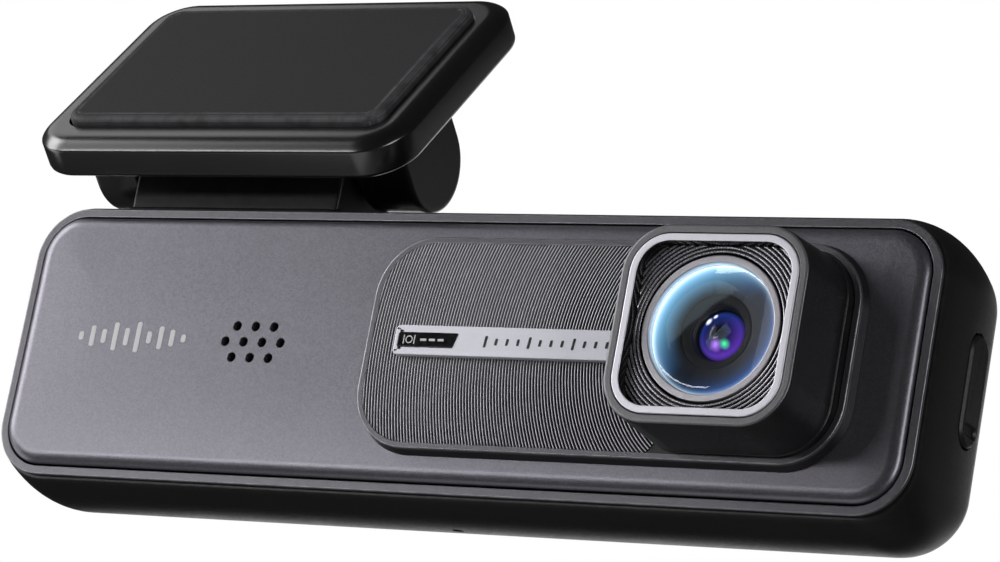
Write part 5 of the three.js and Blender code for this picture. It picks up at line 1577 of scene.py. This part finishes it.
# %% Finishes for the remaining parts
FINISH_OF_SLOT = {
    "bracket_plastic": "bracket black",
    "pad_foam": "pad foam",
    "steel": "plated steel",
    "brass": "turned brass",
    "housing_plastic": "moulded black",
    "neck_plastic": "neck black",
    "bezel_grey": "rim paint",
    "panel_gunmetal": "gunmetal paint",
    "mesh_cloth": "mesh cloth",
    "rubber": "gasket rubber",
    "speaker_metal": "plated steel",
    "block_black": "satin black",
    "ripple_metal": "ripple metal",
    "badge_silver": "badge silver",
    "gloss_black": "gloss black",
    "trim_metal": "trim metal",
    "groove_metal": "groove metal",
    "cover_glass": "cover glass",
    "baffle_grey": "baffle grey",
    "barrel_black": "barrel black",
    "coated_glass": "inner glass",
    "filter_glass": "filter glass",
    "chip_black": "chip black",
    "board_green": "lacquered board",
    "flex_amber": "amber flex",
    "thermal_pad": "thermal foam",
    "aluminium": "rolled aluminium",
    "sleeve_blue": "blue sleeve",
    "socket_steel": "plated steel",
    "door_rubber": "door rubber",
    "lamp_white": "lamp white",
}
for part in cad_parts.values():
    for place, old in enumerate(part.data.materials):
        part.data.materials[place] = materials[FINISH_OF_SLOT[old.name.split(".")[0]]]
print("parts with a new finish:", len(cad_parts))

# %% [markdown]
# ## Studio
#
# The light is soft and comes mostly from the left. One upright panel fills the reflections of
# the gunmetal face at its left end and stops short of its right end, so the paint grows darker
# along the body. A strip low in front draws the light line on the bracket's rolled border, and a
# small cool panel stands where the cover glass mirrors it, so that its edge crosses the glass.
# Dim panels on the right, behind and below keep the black plastic readable from every side. The
# floor lies as far below as a windscreen is above the road. Floor and surroundings are bright
# only to the camera, because black plastic mirrors a white room and would turn grey.

# %% Floor and surroundings


def for_camera(tree, usual, seen):
    """Shows one shader to the camera and the usual one to every other ray."""
    path = add_node(tree, "ShaderNodeLightPath")
    either = add_node(tree, "ShaderNodeMixShader", {0: path.outputs["Is Camera Ray"]})
    tree.links.new(usual.outputs[0], either.inputs[1])
    tree.links.new(seen.outputs[0], either.inputs[2])
    tree.links.new(either.outputs[0], output_of(tree).inputs["Surface"])


FLOOR_SIDE, FLOOR_Z = 4.0, -1.25
floor_corners = [(-1, -1), (1, -1), (1, 1), (-1, 1)]
floor_points = [(FLOOR_SIDE * x, FLOOR_SIDE * y, FLOOR_Z) for x, y in floor_corners]
floor_mesh = bpy.data.meshes.new("floor")
floor_mesh.from_pydata(floor_points, [], [(0, 1, 2, 3)])
floor = bpy.data.objects.new("floor", floor_mesh)
bpy.context.scene.collection.objects.link(floor)
material, tree, shader = start_material("pale floor")
shade = blend_colours(tree, grain(tree, 60, 4), (0.74, 0.74, 0.74), (0.78, 0.78, 0.78))
tree.links.new(shade, shader.inputs["Base Color"])
shader.inputs["Roughness"].default_value = 0.9
glow = add_node(tree, "ShaderNodeEmission", {"Color": (0.9, 0.9, 0.9, 1), "Strength": 0.85})
lifted = add_node(tree, "ShaderNodeAddShader")
tree.links.new(shader.outputs[0], lifted.inputs[0])
tree.links.new(glow.outputs[0], lifted.inputs[1])
for_camera(tree, shader, lifted)
floor_mesh.materials.append(material)
floor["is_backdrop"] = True

world = bpy.data.worlds.new("studio")
bpy.context.scene.world = world
world.use_nodes = True
sky = world.node_tree
background = next(n for n in sky.nodes if n.type == "BACKGROUND")
background.inputs["Color"].default_value = (1, 1, 1, 1)
background.inputs["Strength"].default_value = 0.03
bright = add_node(sky, "ShaderNodeBackground", {"Color": (1, 1, 1, 1), "Strength": 1.0})
for_camera(sky, background, bright)
bpy.context.scene.view_settings.view_transform = "Standard"
print("floor at", FLOOR_Z, "m")

# %% Lights


MIDDLE = (0.033, -0.005, -0.03)


def soft_panel(name, place, size, power, turn=0.0, colour=(1, 1, 1)):
    """A rectangular light at a place, facing the middle, turned about its own axis."""
    light = bpy.data.lights.new(name, "AREA")
    light.shape = "RECTANGLE"
    light.size, light.size_y = size
    light.energy = power
    light.color = colour
    lamp = bpy.data.objects.new(name, light)
    facing = (Vector(MIDDLE) - Vector(place)).to_track_quat("-Z", "Y").to_matrix().to_4x4()
    own_turn = Matrix.Rotation(math.radians(turn), 4, "Z")
    lamp.matrix_world = Matrix.Translation(place) @ facing @ own_turn
    bpy.context.scene.collection.objects.link(lamp)


def around(left, up, distance=0.75):
    """A place at an angle to the left of straight ahead, and above the level."""
    left, up = math.radians(left), math.radians(up)
    x = MIDDLE[0] - distance * math.sin(left) * math.cos(up)
    y = MIDDLE[1] - distance * math.cos(left) * math.cos(up)
    return (x, y, MIDDLE[2] + distance * math.sin(up))


soft_panel("window_panel", around(51, 18), (0.34, 0.5), 0.64, turn=12)
soft_panel("left_panel", around(68, 20), (0.3, 0.5), 2.3)
soft_panel("low_strip", around(34, 1), (0.3, 0.07), 0.6)
soft_panel(
    "glass_panel",
    around(27.1, 16.4, 0.757),
    (0.07, 0.035),
    0.009,
    turn=46,
    colour=(0.72, 0.92, 1),
)
soft_panel("right_panel", around(-60, 0), (0.3, 0.5), 1.9)
soft_panel("back_right_panel", around(-150, 0), (0.4, 0.5), 0.07)
soft_panel("back_panel", around(165, 5, 0.85), (0.7, 0.5), 1.2)
soft_panel("top_left_panel", (-0.5, 0.05, 0.5), (0.35, 0.35), 0.33)
soft_panel("low_left_panel", (-0.5, -0.1, -0.22), (0.3, 0.3), 0.4)
soft_panel("low_panel", (-0.1, -0.25, -0.62), (0.5, 0.4), 0.3)

# %% [markdown]
# ## The size of the dressed model
#
# The dressed model has to stay the size of the engineering model. Both boxes are gathered, and the
# visual one is printed in millimetres.

# %% Sizes
seen_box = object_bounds()
boxes = {"cad": cad_box, "visual": seen_box}
sizes = {name: [list(corner) for corner in box] for name, box in boxes.items()}
print("visual box in mm:", [[round(1000 * v, 2) for v in corner] for corner in sizes["visual"]])
